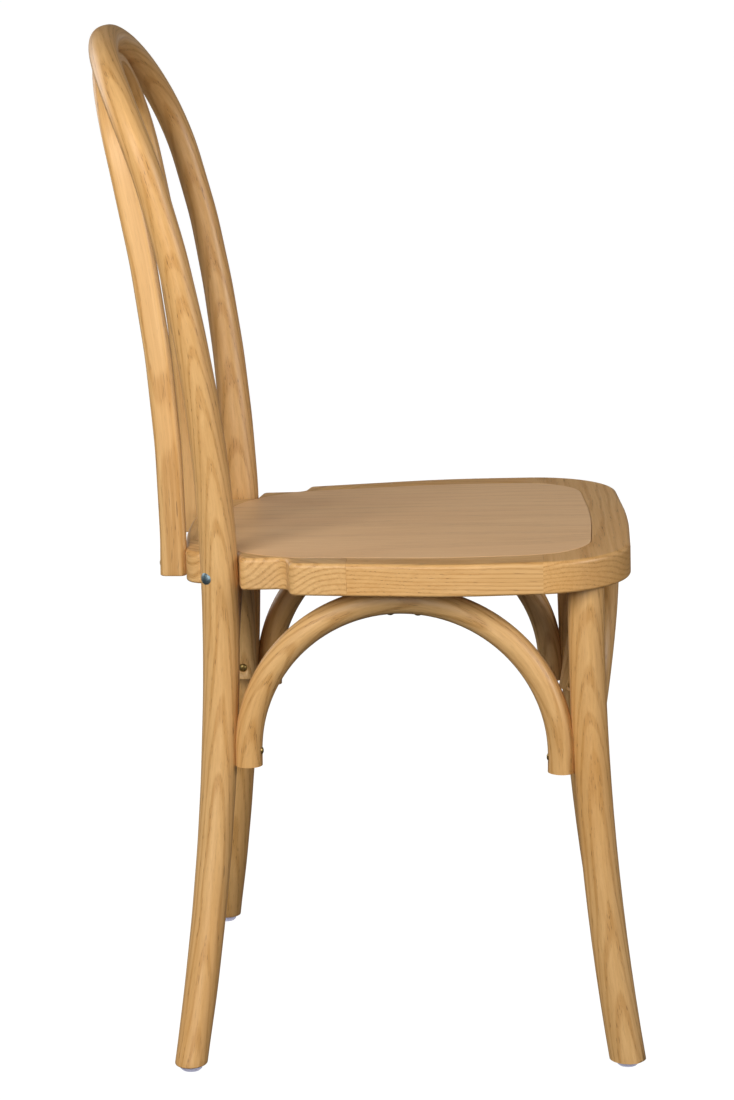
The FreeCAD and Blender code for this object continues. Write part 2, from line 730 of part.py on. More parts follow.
def make_braces():
    """Two side braces, a front brace and a rear brace."""
    bite = size("brace_bite")
    braces = {}
    rear = hoop_side(ARCH_AT)
    front = front_leg_point(ARCH_AT)
    along = V(front.x - rear.x, front.y - rear.y, 0)
    room = along.Length - radius_at(ARCH_AT) - FRONT_LEG_RADIUS
    side_radius = room / 2 - BRACE_RADIUS + bite
    along.normalize()
    for i, (side, sign) in enumerate(SIDES):
        middle = rear + along * (radius_at(ARCH_AT) + room / 2)
        middle.z = SIDE_BRACE_END
        braces[f"side_brace_{side}"] = make_brace(
            f"side_brace_{side}",
            on_side(sign, middle),
            on_side(sign, along),
            side_radius,
            0,
            [brace_lands[i], front_rods[i]],
            size("side_screw_rise"),
        )
    rear = hoop_side(REAR_BRACE_END + size("brace_diameter"))
    reach = radius_at(rear.z) + BRACE_RADIUS - bite
    braces["rear_brace"] = make_brace(
        "rear_brace",
        V(0, rear.y - size("rear_brace_forward"), REAR_BRACE_END),
        V(1, 0, 0),
        rear.x - math.sqrt(reach ** 2 - size("rear_brace_forward") ** 2),
        0,
        list(brace_lands),
        size("rear_screw_rise"),
    )
    reach = FRONT_LEG_RADIUS + BRACE_RADIUS - bite
    braces["front_brace"] = make_brace(
        "front_brace",
        V(0, front.y + size("front_brace_back"), FRONT_BRACE_END),
        V(1, 0, 0),
        front.x - math.sqrt(reach ** 2 - size("front_brace_back") ** 2),
        size("front_brace_lean"),
        list(front_rods),
        size("front_screw_rise"),
    )
    return braces


braces = make_braces()

# Inner hoop, a flat-sided rod with rounded edges

REAR_STAND_OUT = size("seat_rear_bow") * (1 - size("inner_end_half_width") / NOTCH_X)
SEAT_REAR = SEAT.multVec(V(0, size("seat_rear") + REAR_STAND_OUT, -THICK / 2))
INNER_LOW = V(
    0,
    SEAT_REAR.y + size("inner_depth") / 2 - size("inner_bite"),
    underside_z(SEAT_REAR.y) + size("inner_end_rise"),
)
CROWN_DOWN = FreeCAD.Rotation(V(1, 0, 0), -size("crown_lean")).multVec(UP) * -1
CROWNS_APART = size("hoop_crown_diameter") / 2 + size("inner_thickness") / 2 - size("saddle_depth")
INNER_CROWN = V(0, size("crown_y"), CROWN_Z) + CROWN_DOWN * CROWNS_APART
INNER_BASE_Z = INNER_CROWN.z - size("inner_arch_rise")
INNER_SPAN = INNER_CROWN - INNER_LOW - UP * size("inner_straight")
INNER_BEND_RADIUS = arc_radius(INNER_SPAN.z, INNER_SPAN.y)


def inner_rise(z):
    """How far a height is above the start of the inner hoop's bend."""
    return max(0, z - INNER_LOW.z - size("inner_straight"))


def inner_y(z):
    """Side view of the inner hoop: straight lower ends, then one even bend to the crown."""
    return INNER_LOW.y + arc_offset(inner_rise(z), INNER_BEND_RADIUS)


def inner_side(z):
    """Point of the inner hoop's left arm."""
    half = size("inner_half_width")
    narrowing = half - size("inner_end_half_width")
    return V(half - arc_between(INNER_BASE_Z - z, INNER_BASE_Z - INNER_LOW.z, narrowing), inner_y(z), z)


def inner_section():
    """Outline of the inner hoop across its length, depth along X."""
    half = size("inner_depth") / 2
    across = size("inner_thickness") / 2
    radius = size("inner_edge_radius")
    corners = [(half, -across), (half, across), (-half, across), (-half, -across)]
    outline = rounded([(x, y, radius) for x, y in corners])
    return Part.Wire([piece.toShape() for piece in outline])


def make_inner_hoop():
    """Arms and arch lofted through sections square to their path."""
    flat = size("inner_crown_flat")
    foot = [inner_side(INNER_LOW.z), inner_side(underside_z(INNER_LOW.y) + THICK + LAND_MARGIN)]
    arm = [inner_side(z) for z in steps(foot[1].z, INNER_BASE_Z, 4)[1:]]
    last_turn = math.acos(flat / size("inner_half_width"))
    turns = steps(0, last_turn, 8)
    half = size("inner_half_width")
    arch = [arch_point(turn, half, INNER_BASE_Z, size("inner_arch_rise"), 2, inner_y) for turn in turns]
    left = foot + arm + arch + [V(flat, INNER_CROWN.y, INNER_CROWN.z)]
    ahead = [after - before for before, after in zip(left, left[2:])]
    ahead = [UP, UP] + ahead[1:] + [V(-1, 0, 0)]
    points = left + [flipped(point) for point in reversed(left)]
    directions = ahead + [flipped(direction) * -1 for direction in reversed(ahead)]
    sections = []
    for i, (point, direction) in enumerate(zip(points, directions)):
        upright = direction.cross(UP).Length == 0
        lean = 0 if upright else math.asin(inner_rise(point.z) / INNER_BEND_RADIUS)
        section = doc.addObject("Part::Feature", f"inner_section_{i}")
        section.Shape = inner_section()
        section.Placement = place(point, direction, V(0, math.cos(lean), -math.sin(lean)))
        sections.append(section)
    hoop = doc.addObject("Part::Loft", "inner_hoop_rod")
    hoop.Sections = sections
    hoop.Solid = True
    hoop.Ruled = True
    return cut("inner_hoop_blank", hoop, [crown_land, seat_ring])


inner_hoop_blank = make_inner_hoop()

# Fasteners, with their heads above Z 0 and their shanks below, and the holes they need


def headed(name, kind, length):
    """A fastener with a raised head, and the tool that cuts its hole and its head's seat."""
    head = doc.addObject("Part::Cone", name + "_head")
    bind(head, Radius1=f"Dims.{kind}_head_diameter / 2", Height=f"Dims.{kind}_head_height")
    bind(head, Radius2=f"Dims.{kind}_head_diameter / 2 - Dims.{kind}_head_height * 0.6")
    down = aim(V(), UP * -1)
    shank = cylinder(name + "_shank", down, f"Dims.{kind}_diameter / 2", f"Dims.{length}")
    fastener = join(name, [head, shank])
    bore_length = f"Dims.{length} + Dims.fit_gap"
    bore = cylinder(name + "_bore", down, f"Dims.{kind}_diameter / 2", bore_length)
    seat = cylinder(
        name + "_seat",
        aim(V(), UP),
        f"Dims.{kind}_head_diameter / 2 + Dims.fit_gap",
        "Dims.head_room",
    )
    return fastener, gather(name + "_hole", [bore, seat])


bolt, bolt_hole = headed("bolt", "bolt", "bolt_length")
brace_screw, brace_screw_hole = headed("brace_screw", "screw", "brace_screw_length")
seat_screw, seat_screw_hole = headed("seat_screw", "screw", "seat_screw_length")
inner_screw, inner_screw_hole = headed("inner_screw", "screw", "inner_screw_length")
crown_screw, crown_screw_hole = headed("crown_screw", "screw", "crown_screw_length")
nail, nail_hole = headed("nail", "nail", "nail_length")

BOLT_OUT = V(1, 1, 0).normalize()
bolt_point = LEG_AT_SEAT + BOLT_OUT * (LEG_RADIUS - SEAT_DEPTH)
bolt_point.z = CORE_Z
bolt_aims = both_sides([(SEAT.multVec(bolt_point), SEAT.Rotation.multVec(BOLT_OUT))])
insert_point = LEG_AT_SEAT - BOLT_OUT * (LEG_RADIUS + size("insert_depth"))
insert_point.z = CORE_Z
insert_aims = both_sides([(SEAT.multVec(insert_point), SEAT.Rotation.multVec(BOLT_OUT * -1))])

inner_rear = INNER_LOW + V(size("inner_end_half_width"), size("inner_depth") / 2 - SEAT_DEPTH, 0)
inner_rear.z = SEAT_REAR.z
inner_aims = both_sides([(inner_rear, SEAT_BACK)])

crown_point = INNER_CROWN + CROWN_DOWN * (size("inner_thickness") / 2 - SEAT_DEPTH)
crown_aims = both_sides([(crown_point + V(size("crown_screw_spread"), 0, 0), CROWN_DOWN)])


def edge_x(y):
    """Half-width of the seat at a depth, between its corners."""
    for (low_x, low_y, _), (high_x, high_y, _) in zip(SEAT_CORNERS, SEAT_CORNERS[1:]):
        if low_y <= y <= high_y:
            return low_x + (high_x - low_x) * (y - low_y) / (high_y - low_y)
    return NOTCH_X


def dowel_aims():
    """Two dowels across each glue joint of the seat frame."""
    half = size("dowel_length") / 2
    aims = []
    for i in range(2):
        depth = size("dowel_edge") + i * size("dowel_spacing")
        for y in (FRONT_JOINT, REAR_JOINT):
            aims.append((SEAT.multVec(V(edge_x(y) - depth, y - half, CORE_Z)), SEAT_BACK))
        start = V(REAR_JOINT_X - half, size("seat_rear") - depth, CORE_Z)
        aims.append((SEAT.multVec(start), V(1, 0, 0)))
    return both_sides(aims)


FEET = {
    "front": front_leg_point(GLIDE_TOP),
    "rear": hoop_side(GLIDE_TOP),
}
foot_points = {
    f"glide_{end}_{side}": V(sign * point.x, point.y, 0)
    for end, point in FEET.items()
    for side, sign in SIDES
}
NAIL_Z = size("nail_head_height") + size("nail_sink")
nail_aims = [aim(point + UP * NAIL_Z, UP * -1) for point in foot_points.values()]
leg_screw_aims = [frame for brace in braces.values() for frame in brace[1]]
seat_screw_aims = [frame for brace in braces.values() for frame in brace[2]]

dowel = cylinder("dowel", aim(V(), UP), "Dims.dowel_diameter / 2", "Dims.dowel_length")
insert_body = cylinder("insert_body", aim(V(), UP), "Dims.insert_diameter / 2", "Dims.insert_length")
insert_thread = cylinder("insert_thread", aim(V(), UP), "Dims.bolt_diameter / 2", "Dims.insert_length")
insert = cut("insert", insert_body, [insert_thread])
insert_entry = size("insert_depth") + size("notch_bite") + LEG_RADIUS
insert_hole = cylinder(
    "insert_hole",
    aim(UP * -insert_entry, UP),
    "Dims.insert_diameter / 2",
    f"Dims.insert_length + {insert_entry}",
)

frame_dowels = copies("frame_dowels", dowel, dowel_aims())
bolt_bores = copies("bolt_bores", bolt_hole, bolt_aims)
insert_bores = copies("insert_bores", insert_hole, insert_aims)
leg_screw_bores = copies("leg_screw_bores", brace_screw_hole, leg_screw_aims)
seat_screw_bores = copies("seat_screw_bores", seat_screw_hole, seat_screw_aims)
inner_screw_bores = copies("inner_screw_bores", inner_screw_hole, inner_aims)
crown_screw_bores = copies("crown_screw_bores", crown_screw_hole, crown_aims)
nail_bores = copies("nail_bores", nail_hole, nail_aims)


def make_glide(name, point):
    """A flat round foot with a bevelled lower edge and a sunk hole for its nail."""
    body = doc.addObject("PartDesign::Body", name + "_blank")
    disc = body.newObject("PartDesign::AdditiveCylinder", name + "_disc")
    bind(disc, Radius="Dims.glide_diameter / 2", Height="Dims.glide_height")
    doc.recompute()
    bevel = body.newObject("PartDesign::Chamfer", name + "_bevel")
    bevel.Base = (disc, edges_at(disc, 0))
    bind(bevel, Size="Dims.glide_bevel")
    body.Placement = FreeCAD.Placement(point, FreeCAD.Rotation())
    return cut(name, body, [nail_bores])


# Finished pieces

finished = {
    "back_hoop": cut(
        "back_hoop",
        back_hoop_blank,
        [bolt_bores, leg_screw_bores, crown_screw_bores, nail_bores],
    ),
    "inner_hoop": cut("inner_hoop", inner_hoop_blank, [inner_screw_bores, crown_screw_bores]),
    "seat_front_rail": cut(
        "seat_front_rail",
        front_rail_blank,
        [frame_dowels, seat_screw_bores] + list(tenon_bores),
    ),
    "seat_rear_rail": cut("seat_rear_rail", rear_rail_blank, [frame_dowels, seat_screw_bores]),
    "seat_panel": seat_panel,
    "rear_leg_bolts": copies("rear_leg_bolts", bolt, bolt_aims),
    "threaded_inserts": copies("threaded_inserts", insert, insert_aims),
    "brace_leg_screws": copies("brace_leg_screws", brace_screw, leg_screw_aims),
    "brace_seat_screws": copies("brace_seat_screws", seat_screw, seat_screw_aims),
    "inner_hoop_screws": copies("inner_hoop_screws", inner_screw, inner_aims),
    "hoop_crown_screws": copies("hoop_crown_screws", crown_screw, crown_aims),
    "frame_dowels": frame_dowels,
    "glide_nails": copies("glide_nails", nail, nail_aims),
}
for i, (side, _) in enumerate(SIDES):
    finished[f"seat_{side}_rail"] = cut(
        f"seat_{side}_rail",
        side_rail_blanks[i],
        [frame_dowels, seat_screw_bores],
    )
    finished[f"seat_{side}_rear_corner"] = cut(
        f"seat_{side}_rear_corner",
        rear_corner_blanks[i],
        [seat_lands[i], frame_dowels, bolt_bores, insert_bores, inner_screw_bores],
    )
    finished[f"front_leg_{side}"] = cut(
        f"front_leg_{side}",
        front_leg_blanks[i],
        [leg_screw_bores, nail_bores],
    )
for name, (blank, _, _) in braces.items():
    finished[name] = cut(name, blank, [leg_screw_bores, seat_screw_bores])
for name, point in foot_points.items():
    finished[name] = make_glide(name, point)

doc.recompute()
os.makedirs("parts", exist_ok=True)
for name, piece in finished.items():
    piece.Label = name
    if "Invalid" in piece.State or "Error" in piece.State:
        raise RuntimeError(f"{name} did not compute")
    if piece.Shape.isNull() or not piece.Shape.isValid():
        raise RuntimeError(f"{name} is not a valid shape")
    piece.Shape.exportStep(f"parts/{name}.step")
    print(name, len(piece.Shape.Solids), round(piece.Shape.Volume / 1000, 2))
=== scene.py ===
# %% [markdown]
# A bentwood café chair: steamed rods bent into hoops, legs and braces, round a glued seat frame
# with a veneered panel. The CAD model already has every piece in its place, in metres, with the
# sitter facing -Y. This lesson loads it as a fixed frame and dresses it: smooth hoops, crisp glue
# joints, real screw heads, and wood whose grain follows each bend.

# %% Load the frame
import math

import bmesh
import bpy
import numpy as np
from mathutils import Matrix, Vector
from mathutils.bvhtree import BVHTree


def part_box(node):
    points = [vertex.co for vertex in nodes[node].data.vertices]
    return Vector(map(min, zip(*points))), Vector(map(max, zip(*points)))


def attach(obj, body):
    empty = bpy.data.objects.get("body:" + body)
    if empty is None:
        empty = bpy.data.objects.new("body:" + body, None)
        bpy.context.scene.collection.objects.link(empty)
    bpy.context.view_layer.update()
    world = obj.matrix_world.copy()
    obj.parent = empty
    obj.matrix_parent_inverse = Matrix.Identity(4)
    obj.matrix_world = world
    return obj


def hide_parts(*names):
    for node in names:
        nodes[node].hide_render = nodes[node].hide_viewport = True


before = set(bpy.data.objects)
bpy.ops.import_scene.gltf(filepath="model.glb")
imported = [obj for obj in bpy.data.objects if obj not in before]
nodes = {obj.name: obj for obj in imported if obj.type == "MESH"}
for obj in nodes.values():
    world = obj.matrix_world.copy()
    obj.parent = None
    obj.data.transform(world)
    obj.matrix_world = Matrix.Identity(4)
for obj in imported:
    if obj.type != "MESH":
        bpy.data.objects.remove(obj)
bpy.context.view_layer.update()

# %% [markdown]
# Shader colours are linear, but colours are picked in sRGB, so one function turns a hex
# value into linear light. A second function adds any node, to a material or to a Geometry Nodes
# tree: plain values go into its sockets, and an output socket given as a value becomes a link.

# %% Colour and node helpers
MM = 0.001


def linear(code):
    """Linear RGBA of an sRGB hex colour."""
    shares = [int(code[i:i + 2], 16) / 255 for i in (1, 3, 5)]
    return [s / 12.92 if s <= 0.04045 else ((s + 0.055) / 1.055) ** 2.4 for s in shares] + [1.0]


def add(tree, kind, inputs=None, stops=(), **settings):
    """A node with its settings, its input values or links, and a colour ramp's stops."""
    node = tree.nodes.new(kind)
    for key, value in settings.items():
        setattr(node, key, value)
    for key, value in (inputs or {}).items():
        if isinstance(value, bpy.types.NodeSocket):
            tree.links.new(value, node.inputs[key])
        else:
            node.inputs[key].default_value = value
    for i, (place, colour) in enumerate(stops):
        ramp = node.color_ramp.elements
        stop = ramp[i] if i < 2 else ramp.new(place)
        stop.position = place
        stop.color = colour
    return node


def blank_material(name):
    """A new material and its empty node tree."""
    material = bpy.data.materials.new(name)
    material.use_nodes = True
    material.node_tree.nodes.clear()
    return material, material.node_tree


print("linear #d5a267:", [round(value, 3) for value in linear("#d5a267")])

# %% [markdown]
# The rods and rails are oak. Oak is ring-porous: each year's growth shows as a soft band, and its
# open pores as short dark dashes along the grain. The pattern is drawn in a "grain" attribute that
# every wooden piece carries: two distances across the wood, from the tree's pith, and one along
# it, in metres. So the figure bends with a bent rod, which Object coordinates could not do.

# %% Figure of the wood
BLOTCH = 60 * MM
BLOTCH_STRETCH, RING_STRETCH, FIBRE_STRETCH = 0.2, 0.3, 0.02  # scale along the grain, of 1 across
SWAY = 20 * MM
WAVE_PERIOD = math.tau / 20
PORE_WIDTH = 0.7 * MM
PORE_LENGTH = 16 * MM
LATE_WOOD_PORES = 0.22


def wood_figure(tree, ring, fibre, tilt, pore_share):
    """Outputs for slow blotches, growth rings round the pith, fibres and pores."""
    grain = add(tree, "ShaderNodeAttribute", attribute_name="grain").outputs["Vector"]
    drawn_out = add(tree, "ShaderNodeMapping", {"Vector": grain, "Scale": (1, 1, BLOTCH_STRETCH)})
    blotches = add(
        tree,
        "ShaderNodeTexNoise",
        {"Vector": drawn_out.outputs[0], "Scale": 1 / BLOTCH, "Detail": 2.0},
    )
    # The pith runs a little out of true with the piece, so rings come out as long arches.
    leaning = add(
        tree,
        "ShaderNodeMapping",
        {"Vector": grain, "Rotation": tilt, "Scale": (1, 1, RING_STRETCH)},
    )
    sway = add(
        tree,
        "ShaderNodeVectorMath",
        {0: blotches.outputs["Color"], "Scale": SWAY},
        operation="SCALE",
    )
    swayed = add(
        tree,
        "ShaderNodeVectorMath",
        {0: leaning.outputs[0], 1: sway.outputs[0]},
        operation="ADD",
    )
    rings = add(
        tree,
        "ShaderNodeTexWave",
        {
            "Vector": swayed.outputs[0],
            "Scale": WAVE_PERIOD / ring,
            "Distortion": 1.6,
            "Detail": 3.0,
            "Detail Scale": 0.5,
        },
        wave_type="RINGS",
        rings_direction="Z",
    )
    early = add(
        tree,
        "ShaderNodeMapRange",
        {"Value": rings.outputs["Fac"], "From Min": 0.5, "From Max": 1.0},
        interpolation_type="SMOOTHSTEP",
    )
    fibre_axis = add(
        tree,
        "ShaderNodeMapping",
        {"Vector": grain, "Scale": (1 / fibre, 1 / fibre, FIBRE_STRETCH / fibre)},
    )
    fibres = add(
        tree,
        "ShaderNodeTexNoise",
        {"Vector": fibre_axis.outputs[0], "Scale": 1.0, "Detail": 4.0, "Roughness": 0.62},
    )
    # A pore is a tenth of a millimetre wide. It is drawn several times wider, as little as the
    # picture shows.
    pore_axis = add(
        tree,
        "ShaderNodeMapping",
        {"Vector": grain, "Scale": (1 / PORE_WIDTH, 1 / PORE_WIDTH, 1 / PORE_LENGTH)},
    )
    pore_noise = add(
        tree,
        "ShaderNodeTexNoise",
        {"Vector": pore_axis.outputs[0], "Scale": 1.0, "Detail": 1.5, "Distortion": 0.3},
    )
    dashes = add(
        tree,
        "ShaderNodeMapRange",
        {
            "Value": pore_noise.outputs["Fac"],
            "From Min": 0.58,
            "From Max": 0.72,
            "To Max": pore_share,
        },
        interpolation_type="SMOOTHSTEP",
    )
    crowding = add(
        tree,
        "ShaderNodeMapRange",
        {"Value": early.outputs[0], "To Min": LATE_WOOD_PORES, "To Max": 1.0},
    )
    pores = add(
        tree,
        "ShaderNodeMath",
        {0: dashes.outputs[0], 1: crowding.outputs[0]},
        operation="MULTIPLY",
    )
    return blotches.outputs["Fac"], early.outputs[0], fibres.outputs["Fac"], pores.outputs[0]


print("pores drawn", PORE_WIDTH / MM, "mm wide and", PORE_LENGTH / MM, "mm long")

# %% [markdown]
# A clear satin lacquer lies over the wood. Fibres and rings set how deep the tone is, the blotches
# how warm, and the pores are dark and a little sunk. The lacquer could be one glossy surface, but
# brushed lacquer sinks into the fibres, so the roughness wanders with them under a thin coat.

# %% Lacquered oak
COAT_WEIGHT, COAT_ROUGHNESS = 0.35, 0.36
MOST_WARMTH = 0.55


def wood(name, tones, ring, fibre, tilt, figure, pore_share, gloss):
    """Lacquered wood in four tones: pale, deep, warm and the pores'."""
    pale, deep, warm, dark = [linear(code) for code in tones]
    material, tree = blank_material(name)
    blotches, early, fibres, pores = wood_figure(tree, ring, fibre, tilt, pore_share)
    band = add(tree, "ShaderNodeMath", {0: early, 1: figure}, operation="MULTIPLY")
    tone = add(tree, "ShaderNodeMath", {0: fibres, 1: band.outputs[0]}, operation="ADD")
    body = add(
        tree,
        "ShaderNodeValToRGB",
        {"Fac": tone.outputs[0]},
        stops=((0.25, pale), (0.95, deep)),
    )
    warmth = add(
        tree,
        "ShaderNodeMapRange",
        {"Value": blotches, "From Min": 0.35, "From Max": 0.75, "To Max": MOST_WARMTH},
    )
    warmed = add(
        tree,
        "ShaderNodeMix",
        {0: warmth.outputs[0], 6: body.outputs["Color"], 7: warm},
        data_type="RGBA",
    )
    colour = add(
        tree,
        "ShaderNodeMix",
        {0: pores, 6: warmed.outputs[2], 7: dark},
        data_type="RGBA",
    )
    relief = add(tree, "ShaderNodeMath", {0: pores, 1: -1.0, 2: fibres}, operation="MULTIPLY_ADD")
    bump = add(
        tree,
        "ShaderNodeBump",
        {"Height": relief.outputs[0], "Strength": 0.1, "Distance": 0.4 * MM},
    )
    roughness = add(
        tree,
        "ShaderNodeMapRange",
        {
            "Value": fibres,
            "From Min": 0.3,
            "From Max": 0.7,
            "To Min": gloss,
            "To Max": gloss + 0.1,
        },
    )
    lacquer = add(
        tree,
        "ShaderNodeBsdfPrincipled",
        {
            "Base Color": colour.outputs[2],
            "Roughness": roughness.outputs[0],
            "Normal": bump.outputs[0],
            "IOR": 1.5,
            "Coat Weight": COAT_WEIGHT,
            "Coat Roughness": COAT_ROUGHNESS,
        },
    )
    add(tree, "ShaderNodeOutputMaterial", {"Surface": lacquer.outputs[0]})
    return material


# The eye sees a honey-coloured satin surface with soft bands and fine dark dashes.
oak = wood(
    "Oak_satin_lacquered",
    tones=("#dfb479", "#be8f54", "#c98f47", "#6f4a26"),
    ring=4 * MM,
    fibre=2.6 * MM,
    tilt=(0.05, 0.07, 0),
    figure=0.36,
    pore_share=0.72,
    gloss=0.42,
)
# The panel's veneer is paler and less golden, and its fine straight grain hardly shows.
veneer = wood(
    "Oak_veneer_lacquered",
    tones=("#f0c592", "#d8aa78", "#e2b280", "#a07850"),
    ring=9 * MM,
    fibre=2.2 * MM,
    tilt=(0, 0.01, 0),
    figure=0.16,
    pore_share=0.42,
    gloss=0.4,
)
print("wood materials:", oak.name, veneer.name)

# %% [markdown]
# The other finishes are small: turned beech dowels inside the frame, zinc-plated steel for the
# rear leg bolts and inserts, yellow-passivated steel for the wood screws, and milky plastic for
# the floor glides. Each gets a fine pattern at a real scale, so that no surface is one flat colour.

# %% Metals, beech and plastic
NOISE_LOW, NOISE_HIGH = 0.3, 0.7
ROUGHNESS_SPREAD = 0.12


def surfaced(name, low, high, size, rough, metallic):
    """A finish whose colour and roughness wander between two values over a real distance."""
    material, tree = blank_material(name)
    where = add(tree, "ShaderNodeTexCoord").outputs["Object"]
    mottle = add(
        tree,
        "ShaderNodeTexNoise",
        {"Vector": where, "Scale": 1 / size, "Detail": 4.0},
    ).outputs["Fac"]
    colour = add(
        tree,
        "ShaderNodeValToRGB",
        {"Fac": mottle},
        stops=((NOISE_LOW, linear(low)), (NOISE_HIGH, linear(high))),
    )
    roughness = add(
        tree,
        "ShaderNodeMapRange",
        {
            "Value": mottle,
            "From Min": NOISE_LOW,
            "From Max": NOISE_HIGH,
            "To Min": rough,
            "To Max": rough + ROUGHNESS_SPREAD,
        },
    )
    bump = add(
        tree,
        "ShaderNodeBump",
        {"Height": mottle, "Strength": 0.05, "Distance": 0.1 * MM},
    )
    shader = add(
        tree,
        "ShaderNodeBsdfPrincipled",
        {
            "Base Color": colour.outputs["Color"],
            "Roughness": roughness.outputs[0],
            "Normal": bump.outputs[0],
            "Metallic": metallic,
        },
    )
    add(tree, "ShaderNodeOutputMaterial", {"Surface": shader.outputs[0]})
    return material


# Zinc plate: bluish grey with a soft, dull sheen, faintly mottled.
zinc = surfaced("Steel_zinc_plated", "#86a0aa", "#a9bec5", 1.6 * MM, rough=0.46, metallic=1.0)
# Yellow passivation leaves a brassy, slightly uneven film on the zinc.
yellow_zinc = surfaced(
    "Steel_yellow_passivated", "#a98a4a", "#d3b877", 1.8 * MM, rough=0.3, metallic=1.0
)
# Turned beech: pale pinkish wood with a fine fleck.
beech = surfaced("Beech_turned", "#c79c6b", "#dab68a", 1.2 * MM, rough=0.5, metallic=0.0)
# Moulded polypropylene: milky and faintly violet, with a dull sheen.
plastic = surfaced(
    "Polypropylene_moulded", "#9292a8", "#a4a4ba", 0.8 * MM, rough=0.42, metallic=0.0
)
print("small finishes:", zinc.name, yellow_zinc.name, beech.name, plastic.name)

# %% [markdown]
# A bent rod is a circle carried along a curve. The curve could be copied by hand, but then it
# would go out of date when the CAD changes, so it is measured on the CAD mesh. The first step is
# to find where the rod starts and to cut the mesh with a plane square to it.

# %% Cut a rod across
END_DEPTH = 4 * MM
END_SPAN = 40 * MM
UP = np.array((0.0, 0.0, 1.0))


def unit(vector):
    """A vector of length one."""
    return vector / np.linalg.norm(vector)


def points_of(mesh):
    """A mesh's vertices as an array."""
    points = np.empty(len(mesh.vertices) * 3)
    mesh.vertices.foreach_get("co", points)
    return points.reshape(-1, 3)


def triangles(node):
    """Corner points of a CAD node's triangles."""
    mesh = nodes[node].data
    mesh.calc_loop_triangles()
    corners = np.empty(len(mesh.loop_triangles) * 3, dtype=np.int32)
    mesh.loop_triangles.foreach_get("vertices", corners)
    return points_of(mesh)[corners.reshape(-1, 3)]


def lowest(node):
    """Middle of a node's lowest end, the leftmost where there are two."""
    points = triangles(node).reshape(-1, 3)
    points = points[points[:, 2] < points[:, 2].min() + END_DEPTH]
    tip = points[points[:, 0].argmax()]
    return points[np.linalg.norm(points - tip, axis=1) < END_SPAN].mean(axis=0)


def crossing(corners, point, ahead, reach):
    """Points near a point where a plane square to a direction cuts the triangles' edges."""
    height = (corners - point) @ ahead
    found = []
    for a, b in ((0, 1), (1, 2), (2, 0)):
        cut = height[:, a] * height[:, b] < 0
        share = height[cut, a] / (height[cut, a] - height[cut, b])
        found.append(corners[cut, a] + (corners[cut, b] - corners[cut, a]) * share[:, None])
    found = np.concatenate(found)
    return found[np.linalg.norm(found - point, axis=1) < reach]


print("back hoop starts at", lowest("back_hoop").round(4))

# %% [markdown]
# The middle of a cut could be the mean of its points, but screw holes and hollows would pull that
# to one side. So a circle is fitted, points that miss it are left out, and it is fitted again. The
# inner hoop is flat-sided: there the middle lies halfway across the thinnest way through.

# %% Find the middle of a cut
FIT_SLACKS = (2.5 * MM, 1.0 * MM, 0.5 * MM, 0.3 * MM)
LEAST_FIT_POINTS = 8
FLAT_TURNS = np.radians(np.arange(0, 180, 2))
HOOP_REACH, INNER_REACH, ROD_REACH = 30 * MM, 24 * MM, 22 * MM


def across(ahead):
    """Two directions square to a direction and to each other."""
    side = unit(np.cross(ahead, (0.0, 1.0, 0.0)))
    return side, np.cross(ahead, side)


def round_middle(ring, ahead):
    """Middle, radius and any side direction of a round section."""
    side, other = across(ahead)
    start = ring.mean(axis=0)
    flat = np.stack(((ring - start) @ side, (ring - start) @ other), axis=1)
    for slack in FIT_SLACKS:
        table = np.column_stack((2 * flat, np.ones(len(flat))))
        x, y, rest = np.linalg.lstsq(table, (flat ** 2).sum(axis=1), rcond=None)[0]
        radius = math.sqrt(rest + x * x + y * y)
        miss = np.abs(np.hypot(flat[:, 0] - x, flat[:, 1] - y) - radius)
        if (miss < slack).sum() < LEAST_FIT_POINTS:
            break
        flat = flat[miss < slack]
    return start + side * x + other * y, radius, side


def flat_middle(ring, ahead):
    """Middle, half-thickness and thin direction of a flat-sided section."""
    side, other = across(ahead)
    thin = np.cos(FLAT_TURNS)[:, None] * side + np.sin(FLAT_TURNS)[:, None] * other
    widths = np.ptp(ring @ thin.T, axis=0)
    best = int(widths.argmin())
    wide = np.cross(ahead, thin[best])
    middle = ring.mean(axis=0)
    for direction in (thin[best], wide):
        span = (ring - middle) @ direction
        middle = middle + direction * (span.max() + span.min()) / 2
    return middle, widths[best] / 2, thin[best]


low_cut = lowest("back_hoop") + UP * END_SPAN
low_ring = crossing(triangles("back_hoop"), low_cut, UP, HOOP_REACH)
print("back hoop near the floor: radius", round(round_middle(low_ring, UP)[1], 4))

# %% [markdown]
# From the lowest end the plane now walks along the rod: each fitted middle gives the way on, and
# the next plane is set a step further. Where the walk comes to the sawn end it stops.

# %% Walk along a rod
STEP = 8 * MM
LEAST_RING, MOST_STEPS = 12, 400
NEIGHBOURS = 3
SIZE_SLACK = 0.03


